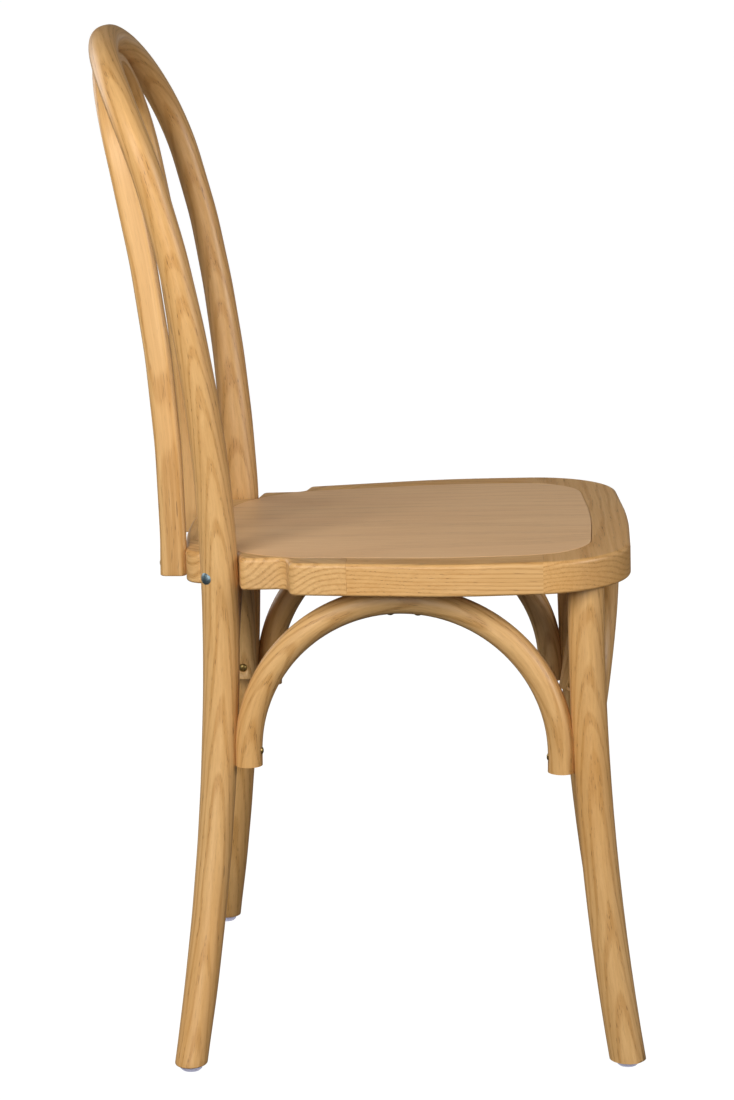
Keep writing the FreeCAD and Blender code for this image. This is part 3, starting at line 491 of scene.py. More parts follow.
def walk(node, start, reach, fit=round_middle):
    """Points, sizes and side directions along the middle of a bent rod, from its lowest end."""
    corners = triangles(node)
    ahead, point = UP, start + UP * END_DEPTH
    points, sizes, sides = [], [], []
    ring = crossing(corners, point, ahead, reach)
    while len(ring) >= LEAST_RING and len(points) < MOST_STEPS:
        for _ in range(2):
            point, size, side = fit(ring, ahead)
            ring = crossing(corners, point, ahead, reach)
        points.append(point)
        sizes.append(size)
        sides.append(side if not sides or side @ sides[-1] > 0 else -side)
        if len(points) > 1:
            ahead = unit(points[-1] - points[-2])
        point = point + ahead * STEP
        ring = crossing(corners, point, ahead, reach)
    points, sizes, sides = np.array(points), np.array(sizes), np.array(sides)
    # The sawn ends cut the first and last sections short, so those are left out.
    places = np.arange(len(sizes))
    shifts = range(-NEIGHBOURS, NEIGHBOURS + 1)
    last = len(sizes) - NEIGHBOURS - 1
    near = np.stack([sizes[np.clip(places + shift, NEIGHBOURS, last)] for shift in shifts])
    true = np.abs(sizes / np.median(near, axis=0) - 1) < SIZE_SLACK
    true[:2] = true[-2:] = False
    return points[true], sizes[true], sides[true]


def smoothed(values, passes):
    """Values with each blended into its neighbours, and the two ends kept."""
    values = np.array(values, dtype=float)
    for _ in range(passes):
        values[1:-1] = values[:-2] * 0.25 + values[1:-1] * 0.5 + values[2:] * 0.25
    return values


hoop_line, hoop_radii, _ = walk("back_hoop", lowest("back_hoop"), HOOP_REACH)
inner_line, inner_sizes, inner_thin = walk(
    "inner_hoop", lowest("inner_hoop"), INNER_REACH, flat_middle
)
radius_range = hoop_radii.min().round(4), hoop_radii.max().round(4)
print("back hoop:", len(hoop_line), "points, radii", *radius_range)
print("inner hoop:", len(inner_line), "points, half-thickness", np.median(inner_sizes).round(4))

# %% [markdown]
# Both hoops are one long steamed rod each. Their shape follows a rule, a section carried along a
# line, so Geometry Nodes make them: the measured points become a smooth curve, and Curve to Mesh
# carries a circle, or a flat-sided outline with rounded edges, along it. Named inputs keep the
# sizes easy to change.

# %% Geometry Nodes for a bent rod
ROUND_SIDES = 48
FILLET_STEPS = 6
ROD_INPUTS = {
    "Ring spacing": "Float",
    "Depth": "Float",
    "Thickness": "Float",
    "Edge radius": "Float",
    "Wood": "Material",
}


def open_tree(name, inputs):
    """A Geometry Nodes tree with named inputs, and the sockets that give them."""
    tree = bpy.data.node_groups.new(name, "GeometryNodeTree")
    for label, kind in {"Geometry": "Geometry", **inputs}.items():
        tree.interface.new_socket(label, in_out="INPUT", socket_type="NodeSocket" + kind)
    tree.interface.new_socket("Geometry", in_out="OUTPUT", socket_type="NodeSocketGeometry")
    return tree, add(tree, "NodeGroupInput").outputs


def close_tree(tree, shape, material):
    """Ends a tree with real geometry in a material."""
    real = add(tree, "GeometryNodeRealizeInstances", {"Geometry": shape})
    dressed = add(
        tree,
        "GeometryNodeSetMaterial",
        {"Geometry": real.outputs[0], "Material": material},
    )
    add(tree, "NodeGroupOutput", {"Geometry": dressed.outputs[0]})


def rod_tree(name, flat):
    """A tree that turns a line of points into a smooth rod, round or flat-sided."""
    tree, asked = open_tree(name, ROD_INPUTS)
    line = add(tree, "GeometryNodeMeshToCurve", {"Mesh": asked["Geometry"]})
    bend = add(
        tree,
        "GeometryNodeCurveSplineType",
        {"Curve": line.outputs[0]},
        spline_type="CATMULL_ROM",
    )
    path = add(
        tree,
        "GeometryNodeResampleCurve",
        {"Curve": bend.outputs[0], "Length": asked["Ring spacing"]},
        mode="LENGTH",
    )
    if flat:
        side = add(
            tree,
            "GeometryNodeInputNamedAttribute",
            {"Name": "rod_side"},
            data_type="FLOAT_VECTOR",
        )
        path = add(
            tree,
            "GeometryNodeSetCurveNormal",
            {"Curve": path.outputs[0], "Normal": side.outputs[0]},
            mode="FREE",
        )
        square = add(
            tree,
            "GeometryNodeCurvePrimitiveQuadrilateral",
            {"Width": asked["Thickness"], "Height": asked["Depth"]},
        )
        outline = add(
            tree,
            "GeometryNodeFilletCurve",
            {"Curve": square.outputs[0], "Radius": asked["Edge radius"], "Count": FILLET_STEPS},
            mode="POLY",
        )
    else:
        outline = add(
            tree,
            "GeometryNodeCurvePrimitiveCircle",
            {"Resolution": ROUND_SIDES, "Radius": 1.0},
        )
    size = add(
        tree,
        "GeometryNodeInputNamedAttribute",
        {"Name": "rod_radius"},
        data_type="FLOAT",
    )
    rod = add(
        tree,
        "GeometryNodeCurveToMesh",
        {
            "Curve": path.outputs[0],
            "Profile Curve": outline.outputs[0],
            "Scale": size.outputs[0],
            "Fill Caps": True,
        },
    )
    close_tree(tree, rod.outputs[0], asked["Wood"])
    return tree


round_rod = rod_tree("Round bent rod", False)
flat_rod = rod_tree("Flat-sided bent rod", True)
for tree in (round_rod, flat_rod):
    print(tree.name, "tree:", len(tree.nodes), "nodes")

# %% [markdown]
# A tree is a modifier on an object, and the finished piece must be a plain mesh. So the measured
# line is made an object whose points carry the rod's size, the tree's inputs are set, and the
# evaluated result is taken as a new mesh.

# %% From a tree to a plain mesh


def plain(source):
    """A plain mesh of an object with its modifiers worked in. The object goes."""
    graph = bpy.context.evaluated_depsgraph_get()
    mesh = bpy.data.meshes.new_from_object(source.evaluated_get(graph), depsgraph=graph)
    bpy.data.objects.remove(source)
    return mesh


def evaluated(source, tree, sizes):
    """A plain mesh of an object under a Geometry Nodes tree with its named inputs set."""
    modifier = source.modifiers.new(tree.name, "NODES")
    modifier.node_group = tree
    for item in tree.interface.items_tree:
        if item.in_out == "INPUT" and item.name in sizes:
            modifier[item.identifier] = sizes[item.name]
    source.update_tag()
    return plain(source)


def linked(name, mesh):
    """An object in the scene with its place in its mesh."""
    piece = bpy.data.objects.new(name, mesh)
    bpy.context.scene.collection.objects.link(piece)
    return piece


def line_object(name, points, **attributes):
    """A mesh of points joined in a row, with values on the points."""
    mesh = bpy.data.meshes.new(name)
    edges = [(i, i + 1) for i in range(len(points) - 1)]
    mesh.from_pydata([tuple(point) for point in points], edges, [])
    for key, values in attributes.items():
        vector = values.ndim == 2
        layer = mesh.attributes.new(key, "FLOAT_VECTOR" if vector else "FLOAT", "POINT")
        layer.data.foreach_set("vector" if vector else "value", values.ravel())
    return linked(name, mesh)


print("rod inputs:", ", ".join(ROD_INPUTS))

# %% [markdown]
# The rod's ends come out square to the line, but a chair's feet are sawn level with the floor. So
# the line is first run on to the level where the CAD piece ends. Then the last few rings are
# tilted little by little until the end ring lies level, and the sawn edge is rounded, as
# sandpaper leaves it.

# %% Level the rod ends and make the hoops
SAWN_EDGE = 1.2 * MM
TILT_LENGTH = 40 * MM
TILT_REACH = 1.5 * TILT_LENGTH
LINE_PASSES, SIZE_PASSES = 3, 6
RING_SPACING = 5 * MM
INNER_SIZES = {"Depth": 23 * MM, "Thickness": 15 * MM, "Edge radius": 6 * MM}


def run_on(values, points, height):
    """A line of points with both ends run on to a height, and the values on it kept to match."""
    ends = []
    for first, second in ((points[0], points[2]), (points[-1], points[-3])):
        way = unit(first - second)
        ends.append(first + way * ((height - first[2]) / way[2]))
    line = np.vstack((ends[0], points, ends[1]))
    return line, np.concatenate((values[:1], values, values[-1:]))


def opened(mesh):
    """An editable shape of a mesh."""
    shape = bmesh.new()
    shape.from_mesh(mesh)
    return shape


def closed(shape, mesh):
    """Writes an edited shape to a mesh."""
    shape.to_mesh(mesh)
    shape.free()


def level_ends(mesh, line, height):
    """Tilts the last rings of a rod until its ends lie level, and rounds the sawn edges."""
    shape = opened(mesh)
    for end, inside in ((line[0], line[2]), (line[-1], line[-3])):
        way = Vector(unit(inside - end))
        for vert in shape.verts:
            off = vert.co - Vector(end)
            along = off.dot(way)
            if along < TILT_LENGTH and off.length < TILT_REACH:
                slide = (vert.co.z - height) / way.z - along
                vert.co -= way * (slide * (1 - max(along, 0) / TILT_LENGTH))
    edges = {edge for face in shape.faces if len(face.verts) > 4 for edge in face.edges}
    bmesh.ops.bevel(
        shape,
        geom=list(edges),
        offset=SAWN_EDGE,
        segments=3,
        affect="EDGES",
        profile=0.5,
    )
    bmesh.ops.recalc_face_normals(shape, faces=shape.faces)
    closed(shape, mesh)


hoop_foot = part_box("back_hoop")[0].z
hoop_points, hoop_sizes = run_on(
    smoothed(hoop_radii, SIZE_PASSES), smoothed(hoop_line, LINE_PASSES), hoop_foot
)
hoop_source = line_object("back_hoop_line", hoop_points, rod_radius=hoop_sizes)
hoop_mesh = evaluated(hoop_source, round_rod, {"Ring spacing": RING_SPACING, "Wood": oak})
level_ends(hoop_mesh, hoop_points, hoop_foot)

inner_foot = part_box("inner_hoop")[0].z
inner_points, inner_sides = run_on(
    smoothed(inner_thin, SIZE_PASSES), smoothed(inner_line, LINE_PASSES), inner_foot
)
inner_source = line_object(
    "inner_hoop_line", inner_points, rod_radius=np.ones(len(inner_points)), rod_side=inner_sides
)
inner_mesh = evaluated(
    inner_source, flat_rod, {"Ring spacing": RING_SPACING, "Wood": oak, **INNER_SIZES}
)
level_ends(inner_mesh, inner_points, inner_foot)
print("hoops:", len(hoop_mesh.polygons), "and", len(inner_mesh.polygons), "faces")

# %% [markdown]
# The legs, braces, seat rails and panel have the right shape in the CAD model, so their meshes are
# copied. A CAD mesh is loose triangles, so the copy's doubles are merged before anything else is
# done to it, and flat areas are joined into single faces so that shading stays clean.

# %% Copies of CAD pieces
DOUBLES = 0.01 * MM
FLATNESS = 0.5


def merged(mesh):
    """An editable shape of a mesh with its doubles merged."""
    shape = opened(mesh)
    bmesh.ops.remove_doubles(shape, verts=shape.verts, dist=DOUBLES)
    return shape


def copied(node):
    """A merged copy of a CAD node's mesh with its flat areas joined."""
    mesh = nodes[node].data.copy()
    shape = merged(mesh)
    bmesh.ops.dissolve_limit(
        shape, angle_limit=math.radians(FLATNESS), verts=shape.verts, edges=shape.edges
    )
    closed(shape, mesh)
    mesh.materials.clear()
    return mesh


def solids(node):
    """The separate solids of a CAD node, each as its points."""
    shape = merged(nodes[node].data)
    left = set(shape.verts)
    groups = []
    while left:
        queue = [left.pop()]
        group = []
        while queue:
            vert = queue.pop()
            group.append(np.array(vert.co))
            for edge in vert.link_edges:
                other = edge.other_vert(vert)
                if other in left:
                    left.remove(other)
                    queue.append(other)
        groups.append(np.array(group))
    shape.free()
    return groups


def shade(mesh, degrees):
    """Smooth shading, with edges sharper than an angle kept crisp."""
    mesh.shade_smooth()
    mesh.set_sharp_from_angle(angle=math.radians(degrees))


def finish(name, mesh, material, slot, *replaced):
    """Puts a finished piece in the scene in place of its CAD nodes."""
    mesh.materials.clear()
    mesh.materials.append(material)
    piece = linked(name, mesh)
    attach(piece, "root")
    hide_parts(*replaced)
    print(name, len(mesh.polygons), "faces")


dowel_middles = [Vector(points.mean(axis=0)) for points in solids("frame_dowels")]
print("frame dowels:", len(dowel_middles), "solids")

# %% [markdown]
# Every wooden piece now gets its "grain" attribute. On a rod, each vertex looks up the nearest
# point of the measured line: the distance along the line is the way of the grain, and its offset
# from the line gives the two distances across. A frame that turns as little as possible is carried
# along the line, so the figure doesn't twist. A rod is never sawn quite true to the fibres: the
# small lean opens its rings into the pointed arches that the legs show. The inner hoop was sawn
# truer, so its flat face is plain.

# %% Grain along a rod
ROD_PITH = (45 * MM, -8 * MM)
ROD_LEAN, INNER_LEAN = 0.08, 0.01
PIECE_SHIFT = np.array((0.137, 0.211, 0.733))
SHIFT_RANGE = np.array((20 * MM, 20 * MM, 600 * MM))
GRAIN_STEP = 2 * MM
WAY_PASSES = 4
HOOP_CREASE = 40


def write_grain(mesh, values, pith, count):
    """Stores a mesh's grain distances from a pith, shifted so that no two pieces look alike."""
    place = values + np.array((*pith, 0.0)) + np.modf(PIECE_SHIFT * count)[0] * SHIFT_RANGE
    layer = mesh.attributes.new("grain", "FLOAT_VECTOR", "POINT")
    layer.data.foreach_set("vector", np.ascontiguousarray(place, dtype=np.float32).ravel())


def fine_line(points):
    """Points at even spacing along a line, with their distances."""
    lengths = np.concatenate(((0,), np.cumsum(np.linalg.norm(np.diff(points, axis=0), axis=1))))
    places = np.arange(0, lengths[-1], GRAIN_STEP)
    return np.stack([np.interp(places, lengths, points[:, i]) for i in range(3)], axis=1), places


def rod_grain(mesh, points, lean, count):
    """Grain that follows a bent rod, out of true by a small lean."""
    line, places = fine_line(points)
    ways = smoothed(np.gradient(line, axis=0), WAY_PASSES)
    ways /= np.linalg.norm(ways, axis=1)[:, None]
    side = across(ways[0])[0]
    sides = []
    for way in ways:
        side = unit(side - way * (side @ way))
        sides.append(side)
    sides = np.array(sides)
    others = np.cross(ways, sides)
    verts = points_of(mesh)
    nearest = np.array([((line - vert) ** 2).sum(axis=1).argmin() for vert in verts])
    off = verts - line[nearest]
    along = places[nearest] + (off * ways[nearest]).sum(axis=1)
    beside = (off * sides[nearest]).sum(axis=1) + lean * (places[-1] - along)
    values = np.stack((beside, (off * others[nearest]).sum(axis=1), along), axis=1)
    write_grain(mesh, values, ROD_PITH, count)


rod_grain(hoop_mesh, hoop_points, ROD_LEAN, 1)
rod_grain(inner_mesh, inner_points, INNER_LEAN, 2)
shade(hoop_mesh, HOOP_CREASE)
shade(inner_mesh, HOOP_CREASE)
finish("back_hoop_bent", hoop_mesh, oak, "lacquered_oak", "back_hoop")
finish("inner_hoop_bent", inner_mesh, oak, "lacquered_oak", "inner_hoop")

# %% [markdown]
# The legs and braces are shorter bent rods. Their CAD shapes already have the tenons, the hollows
# that fit the legs and the flats under the seat, which a swept circle would lose, so they are
# copies. They are still measured, because the grain needs their middle lines.

# %% Legs and braces
LEGS = ("front_leg_left", "front_leg_right")
BRACES = ("side_brace_left", "side_brace_right", "front_brace", "rear_brace")
ROD_PASSES = 2
CREASE = 35
for count, node in enumerate(LEGS + BRACES, start=3):
    rod_line, rod_sizes, _ = walk(node, lowest(node), ROD_REACH)
    rod_mesh = copied(node)
    rod_grain(rod_mesh, smoothed(rod_line, ROD_PASSES), ROD_LEAN, count)
    shade(rod_mesh, CREASE)
    finish(node + "_rod", rod_mesh, oak, "lacquered_oak", node)
    print(node, "measured:", len(rod_line), "points, radius", np.median(rod_sizes).round(4))

# %% [markdown]
# The seat frame is sawn from boards: each rail's grain runs straight along the board, so the front
# rail's runs across the chair, the side rails' from front to back, and the rear corners' slantwise
# between their two joints. The panel's veneer runs from front to back. The pith's place sets the
# figure: far below a board it gives broad arches, near its heart close lines.

# %% Grain along a board
FLAT_SAWN = (0.0, 70 * MM)
NEAR_HEART = (-50 * MM, 25 * MM)
PANEL_PITH = (90 * MM, 300 * MM)
BOARDS = {
    "seat_front_rail": ((1.0, 0.0), FLAT_SAWN),
    "seat_left_rail": ((0.06, 1.0), FLAT_SAWN),
    "seat_right_rail": ((-0.06, 1.0), FLAT_SAWN),
    "seat_left_rear_corner": ((-0.75, 0.66), NEAR_HEART),
    "seat_right_rear_corner": ((0.75, 0.66), NEAR_HEART),
    "seat_rear_rail": ((1.0, 0.0), FLAT_SAWN),
    "seat_panel": ((0.0, 1.0), PANEL_PITH),
}


def board_grain(mesh, direction, pith, count):
    """Grain that runs straight along a board."""
    along = unit(np.array((*direction, 0.0)))
    verts = points_of(mesh)
    verts -= (verts.min(axis=0) + verts.max(axis=0)) / 2
    values = np.stack((verts @ np.cross(along, UP), verts @ UP, verts @ along), axis=1)
    write_grain(mesh, values, pith, count)


boards = {node: copied(node) for node in BOARDS}
for node, board in boards.items():
    print(node, len(board.polygons), "faces copied")

# %% [markdown]
# A glue joint shows as a fine line because its edges are sanded a little. To find those edges,
# each face is tested for another rail's face lying against it. Normals weighted by face area keep
# the flat tops flat; plain smooth shading would make a narrow rail look domed.

# %% Seat rails and panel
JOINT_EDGE = 0.35 * MM
DOWEL_REACH = 5 * MM
GLUE_GAP = 0.02 * MM
SQUARE_ON = 0.99
RAILS = [node for node in BOARDS if node != "seat_panel"]


def touching(face, others):
    """Whether another rail's face lies flat against a face."""
    for other in others:
        _, normal, _, gap = other.find_nearest(face.calc_center_median())
        if gap < GLUE_GAP and normal.dot(face.normal) < -SQUARE_ON:
            return True
    return False


def rim(shape, faces):
    """Edges where a set of faces ends."""
    return [edge for edge in shape.edges if sum(face in faces for face in edge.link_faces) == 1]


def eased(shape, mesh, edges, segments):
    """Bevels edges of a shape, as sandpaper does, and writes it to its mesh."""
    bmesh.ops.bevel(
        shape,
        geom=edges,
        offset=JOINT_EDGE,
        segments=segments,
        affect="EDGES",
        clamp_overlap=True,
    )
    closed(shape, mesh)


def sanded_joints(mesh, others):
    """Bevels the outer edges of a rail's glued faces, and counts them."""
    shape = opened(mesh)
    edges = []
    for edge in rim(shape, {face for face in shape.faces if touching(face, others)}):
        middle = (edge.verts[0].co + edge.verts[1].co) / 2
        if min((middle - dowel).length for dowel in dowel_middles) >= DOWEL_REACH:
            edges.append(edge)
    eased(shape, mesh, edges, 1)
    return len(edges)


def eased_top(mesh):
    """Rounds the top edge of the panel, and counts its edges."""
    shape = opened(mesh)
    edges = rim(shape, {face for face in shape.faces if face.normal.z > SQUARE_ON})
    eased(shape, mesh, edges, 2)
    return len(edges)


def levelled(name, mesh):
    """A mesh whose flat faces are shaded flat right up to its rounded edges."""
    holder = linked(name + "_holder", mesh)
    holder.modifiers.new("level", "WEIGHTED_NORMAL").keep_sharp = True
    return plain(holder)


surfaces = {}
for node in RAILS:
    rail = boards[node]
    corners = [vert.co.copy() for vert in rail.vertices]
    surfaces[node] = BVHTree.FromPolygons(corners, [tuple(face.vertices) for face in rail.polygons])
for count, (node, (direction, pith)) in enumerate(BOARDS.items(), start=9):
    board = boards[node]
    if node in RAILS:
        others = [surface for rail, surface in surfaces.items() if rail != node]
        print(node, sanded_joints(board, others), "joint edges")
        wood_here, slot = oak, "lacquered_oak"
    else:
        print(node, eased_top(board), "top edges")
        wood_here, slot = veneer, "panel_veneer"
    board_grain(board, direction, pith, count)
    shade(board, CREASE)
    finish(node + "_board", levelled(node, board), wood_here, slot, node)

# %% [markdown]
# Screws and bolts repeat, so one of each is modelled and Geometry Nodes set copies of it on
# points. Where each one sits is read from its CAD solid: the long axis, and the end that carries
# the head.

# %% Where the fasteners sit
HEAD_TOP = 0.2 * MM


def seats(node):
    """Where each fastener's tip is, the direction to its head, and its whole length."""
    places, ways, lengths = [], [], []
    for points in solids(node):
        middle = points.mean(axis=0)
        way = np.linalg.svd(points - middle, full_matrices=False)[2][0]
        reach = (points - middle) @ way
        off = np.linalg.norm(points - middle - np.outer(reach, way), axis=1)
        if reach[off.argmax()] < 0:
            way, reach = -way, -reach
        axis = points[reach > reach.max() - HEAD_TOP].mean(axis=0)
        places.append(axis - way * np.ptp(reach))
        ways.append(way)
        lengths.append(np.ptp(reach))
    return np.array(places), np.array(ways), float(np.median(lengths))


SCREWS = ("brace_leg_screws", "brace_seat_screws", "inner_hoop_screws", "hoop_crown_screws")
for node in ("rear_leg_bolts", *SCREWS):
    places, _, length = seats(node)
    print(node, len(places), "of length", round(length, 4))

# %% [markdown]
# A screw is a lathe shape: a profile turned round an axis. The screws' pan heads have a cross
# recess, cut by a Boolean; the bolts' heads are plain low domes. The tip is at the origin and the
# head points up +Z, so that one rotation aims it.

# %% Model a screw and a bolt
TURN_STEPS = 40
TURN_DOUBLES = 0.005 * MM
TIP_LENGTH, TIP_SHARE = 3 * MM, 0.4
RIM_HEIGHT = 0.5 * MM
DOME_TURN, DOME_STEPS = 1.15, 8
RECESS_ARM, RECESS_WIDTH, RECESS_DEPTH = 4.4 * MM, 1.1 * MM, 1.7 * MM
RECESS_TAPER = 0.55


def turned(name, profile):
    """A closed lathe shape from (radius, height) points."""
    shape = bmesh.new()
    row = [shape.verts.new((radius, 0, height)) for radius, height in profile]
    edges = [shape.edges.new(pair) for pair in zip(row, row[1:])]
    bmesh.ops.spin(
        shape,
        geom=row + edges,
        cent=(0, 0, 0),
        axis=(0, 0, 1),
        angle=math.tau,
        steps=TURN_STEPS,
        use_merge=True,
    )
    bmesh.ops.remove_doubles(shape, verts=shape.verts, dist=TURN_DOUBLES)
    bmesh.ops.recalc_face_normals(shape, faces=shape.faces)
    mesh = bpy.data.meshes.new(name)
    closed(shape, mesh)
    return mesh


def headed(length, shank, head, rise):
    """Profile of a fastener: pointed shank, short straight rim and a domed head."""
    wide, low = math.sin(DOME_TURN), math.cos(DOME_TURN)
    lift = (rise - RIM_HEIGHT) / (1 - low)
    profile = [(0, 0), (shank * TIP_SHARE, 0), (shank, TIP_LENGTH), (shank, length), (head, length)]
    for i in range(DOME_STEPS + 1):
        turn = DOME_TURN - DOME_TURN * i / DOME_STEPS
        height = RIM_HEIGHT + lift * (math.cos(turn) - low)
        profile.append((head * math.sin(turn) / wide, length + height))
    return profile


def recessed(mesh, top):
    """A mesh with a cross recess cut down into its head."""
    cutter = bmesh.new()
    for turn in (0, math.pi / 2):
        place = Matrix.Translation((0, 0, top)) @ Matrix.Rotation(turn, 4, "Z")
        blade = place @ Matrix.Diagonal((RECESS_ARM, RECESS_WIDTH, RECESS_DEPTH * 2, 1))
        made = bmesh.ops.create_cube(cutter, size=1.0, matrix=blade)
        for vert in made["verts"]:
            if vert.co.z < top:
                vert.co.x *= RECESS_TAPER
                vert.co.y *= RECESS_TAPER
    tool = bpy.data.meshes.new("cross_tool")
    closed(cutter, tool)
    holder = linked("recess_holder", mesh)
    cross = linked("recess_cross", tool)
    cut = holder.modifiers.new("cross", "BOOLEAN")
    cut.operation = "DIFFERENCE"
    cut.object = cross
    cut.use_self = True
    result = plain(holder)
    bpy.data.objects.remove(cross)
    return result


def fastener(node, length, shank, head, rise, crossed):
    """A modelled fastener of a node's length, with or without a cross recess."""
    mesh = turned(node + "_model", headed(length - rise, shank, head, rise))
    return linked(node + "_model", recessed(mesh, length) if crossed else mesh)


print("cross recess:", RECESS_ARM / MM, "mm across,", RECESS_DEPTH / MM, "mm deep")

# %% [markdown]
# Each point now carries the direction to its fastener's head. The tree sets the modelled fastener
# on every point and turns it that way, which keeps all screws of a kind alike, as bought ones are.

# %% Set the fasteners


def fastener_tree():
    """A tree that sets a modelled fastener on points, aimed along each point's direction."""
    tree, asked = open_tree("Set fasteners", {"Fastener": "Object", "Finish": "Material"})
    model = add(tree, "GeometryNodeObjectInfo", {"Object": asked["Fastener"]})
    way = add(
        tree,
        "GeometryNodeInputNamedAttribute",
        {"Name": "way"},
        data_type="FLOAT_VECTOR",
    )
    aim = add(
        tree,
        "FunctionNodeAlignRotationToVector",
        {"Vector": way.outputs[0]},
        axis="Z",
    )
    spread = add(
        tree,
        "GeometryNodeInstanceOnPoints",
        {
            "Points": asked["Geometry"],
            "Instance": model.outputs["Geometry"],
            "Rotation": aim.outputs[0],
        },
    )
    close_tree(tree, spread.outputs[0], asked["Finish"])
    return tree


BOLT = {"shank": 3 * MM, "head": 6 * MM, "rise": 3.5 * MM, "crossed": False}
SCREW = {"shank": 2 * MM, "head": 4 * MM, "rise": 2.6 * MM, "crossed": True}
METAL_CREASE = 30
FASTENERS = {"rear_leg_bolts": (BOLT, zinc, "zinc_steel")}
for node in SCREWS:
    FASTENERS[node] = (SCREW, yellow_zinc, "yellow_zinc")
set_fasteners = fastener_tree()
for node, (kind, metal, slot) in FASTENERS.items():
    places, ways, length = seats(node)
    model = fastener(node, length, **kind)
    points = line_object(node + "_points", places, way=ways)
    fastener_mesh = evaluated(points, set_fasteners, {"Fastener": model, "Finish": metal})
    bpy.data.objects.remove(model)
    shade(fastener_mesh, METAL_CREASE)
    finish(node + "_heads", fastener_mesh, metal, slot, node)

# %% [markdown]
# The rest of the CAD nodes, the glides with their nails, the dowels and the threaded inserts, have
# the right shape already. They stay, and only take a better material.

# %% Dress the CAD nodes that stay
GLIDES = ("glide_front_left", "glide_front_right", "glide_rear_left", "glide_rear_right")
STAYING = {"frame_dowels": beech, "threaded_inserts": zinc, "glide_nails": zinc}
STAYING.update({node: plastic for node in GLIDES})
for node, material in STAYING.items():
    slots = nodes[node].data.materials
    slots.clear()
    slots.append(material)
print("dressed:", ", ".join(STAYING))

# %% [markdown]
# The photo is a catalogue picture on white, with no shadow: that is what a light table gives, a
# pale floor that glows. Light linking keeps that glow off the chair, all but its glides, because
# the photo's chair isn't lit from below.

# %% Floor
FLOOR_HALF = 60.0
WHITE = (1.0, 1.0, 1.0, 1.0)
floor_mesh = bpy.data.meshes.new("studio_floor")
corners = [(x * FLOOR_HALF, y * FLOOR_HALF, 0) for x, y in ((-1, -1), (1, -1), (1, 1), (-1, 1))]
floor_mesh.from_pydata(corners, [], [(0, 1, 2, 3)])
# Acrylic: an even white glow over a matt, faintly clouded sheet.
acrylic = surfaced(
    "Acrylic_light_table", "#3c3c3c", "#424242", 400 * MM, rough=0.7, metallic=0.0
)
glow = acrylic.node_tree.nodes["Principled BSDF"].inputs
glow["Emission Color"].default_value = WHITE
glow["Emission Strength"].default_value = 1.0
floor_mesh.materials.append(acrylic)
floor = linked("studio_floor", floor_mesh)
glow_on = bpy.data.collections.new("glow_on")
glow_on.objects.link(floor)
for node in GLIDES:
    glow_on.objects.link(nodes[node])
floor.light_linking.receiver_collection = glow_on

# %% [markdown]
# The photo's chair is lit by soft lamps in a dim room: upward faces are darker than the sides, and
# the far legs are darker than the near ones. The key lamp hangs to the left of the camera. All of
# its light from one lamp would glare on the seat, seen from the far side, so most of it comes from
# a twin in the same place that leaves no highlight. A weak lamp behind the camera lays a sheen on
# the upper back. Three more, at the front, behind and on the far side, keep those sides readable.

# %% Room and lamps
ROOM_LOW, ROOM_HIGH, ROOM_EDGE = 0.6, 0.12, 0.08
KEY = {"place": (-1.6, 0.6, 1.3), "target": (-0.1, 0.1, 0.6), "size": 1.1}
SEAT, BACK = (0, 0, 0.5), (0, 0, 0.6)
scene = bpy.context.scene
scene.view_settings.view_transform = "Standard"
world = bpy.data.worlds.new("studio_room")
world.use_nodes = True
room = world.node_tree
sky = room.nodes["Background"]
ray = add(room, "ShaderNodeTexCoord").outputs["Generated"]
above = add(room, "ShaderNodeSeparateXYZ", {0: ray})
dim = add(
    room,
    "ShaderNodeMapRange",
    {
        "Value": above.outputs["Z"],
        "From Min": 0.0,
        "From Max": ROOM_EDGE,
        "To Min": ROOM_LOW,
        "To Max": ROOM_HIGH,
    },
    interpolation_type="SMOOTHSTEP",
)
room.links.new(dim.outputs[0], sky.inputs["Strength"])
sky.inputs["Color"].default_value = WHITE
scene.world = world


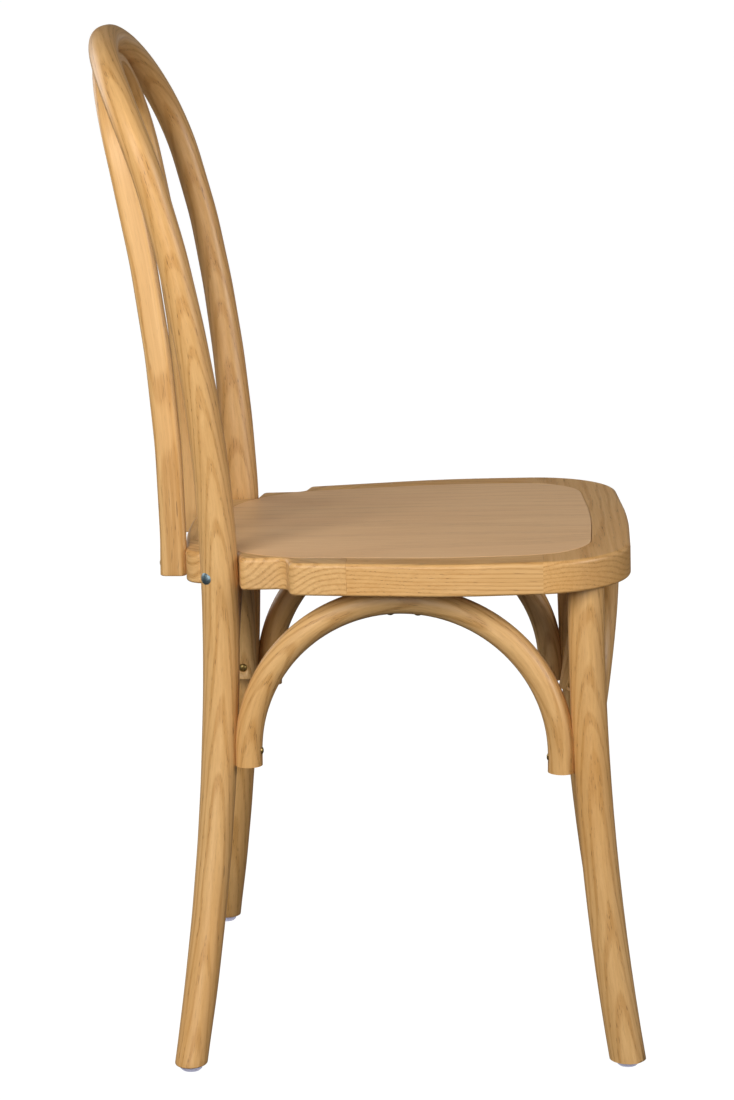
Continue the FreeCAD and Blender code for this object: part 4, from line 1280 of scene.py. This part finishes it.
def lamp(name, place, target, size, power, gleams=True):
    """A square soft lamp aimed at a point; one that doesn't gleam lights without a highlight."""
    light = bpy.data.lights.new(name, "AREA")
    light.size = size
    light.energy = power
    holder = bpy.data.objects.new(name, light)
    holder.visible_glossy = gleams
    holder.location = place
    aim = Vector(target) - Vector(place)
    holder.rotation_euler = aim.to_track_quat("-Z", "Y").to_euler()
    scene.collection.objects.link(holder)
    print(name, power, "W")


lamp("key_softbox", **KEY, power=13)
lamp("key_bounce", **KEY, power=24, gleams=False)
lamp("front_softbox", place=(-2.95, 0.1, 0.7), target=BACK, size=0.8, power=7)
lamp("side_softbox", place=(-1.0, -1.9, 1.2), target=SEAT, size=0.9, power=18)
lamp("back_softbox", place=(1.6, 2.4, 1.5), target=SEAT, size=1.6, power=24)
lamp("far_bounce", place=(2.4, -0.3, 0.5), target=(0, 0, 0.45), size=0.9, power=12, gleams=False)

# %% [markdown]
# A catalogue photographer stands well back with a long lens, so upright legs stay nearly parallel
# in the picture. The stand, the lens and three small turns were found by fitting points of the CAD
# model to the same points in the photo. With the camera in the same place, picture and photo can
# be compared edge by edge.

# %% Camera
SENSOR = 36
PHOTO_HEIGHT = 1100
FOCAL_PIXELS = 3078.14
YAW, PITCH, ROLL = 0.0309516, 0.2004409, -0.0056532
STAND = (-2.735485, -0.080699, 0.974913)
flat_ahead = Vector((math.cos(YAW), math.sin(YAW), 0))
flat_right = Vector((math.sin(YAW), -math.cos(YAW), 0))
up = Vector((0, 0, 1))
look = flat_ahead * math.cos(PITCH) - up * math.sin(PITCH)
top = flat_ahead * math.sin(PITCH) + up * math.cos(PITCH)
right = flat_right * math.cos(ROLL) + top * math.sin(ROLL)
top = top * math.cos(ROLL) - flat_right * math.sin(ROLL)
lens = bpy.data.cameras.new("photo_camera")
lens.lens = FOCAL_PIXELS / PHOTO_HEIGHT * SENSOR
lens.sensor_width = SENSOR
camera = bpy.data.objects.new("photo_camera", lens)
turn = Matrix((right, top, -look)).transposed().to_4x4()
camera.matrix_world = Matrix.Translation(STAND) @ turn
scene.collection.objects.link(camera)
scene.camera = camera
print("camera lens:", round(lens.lens, 2))
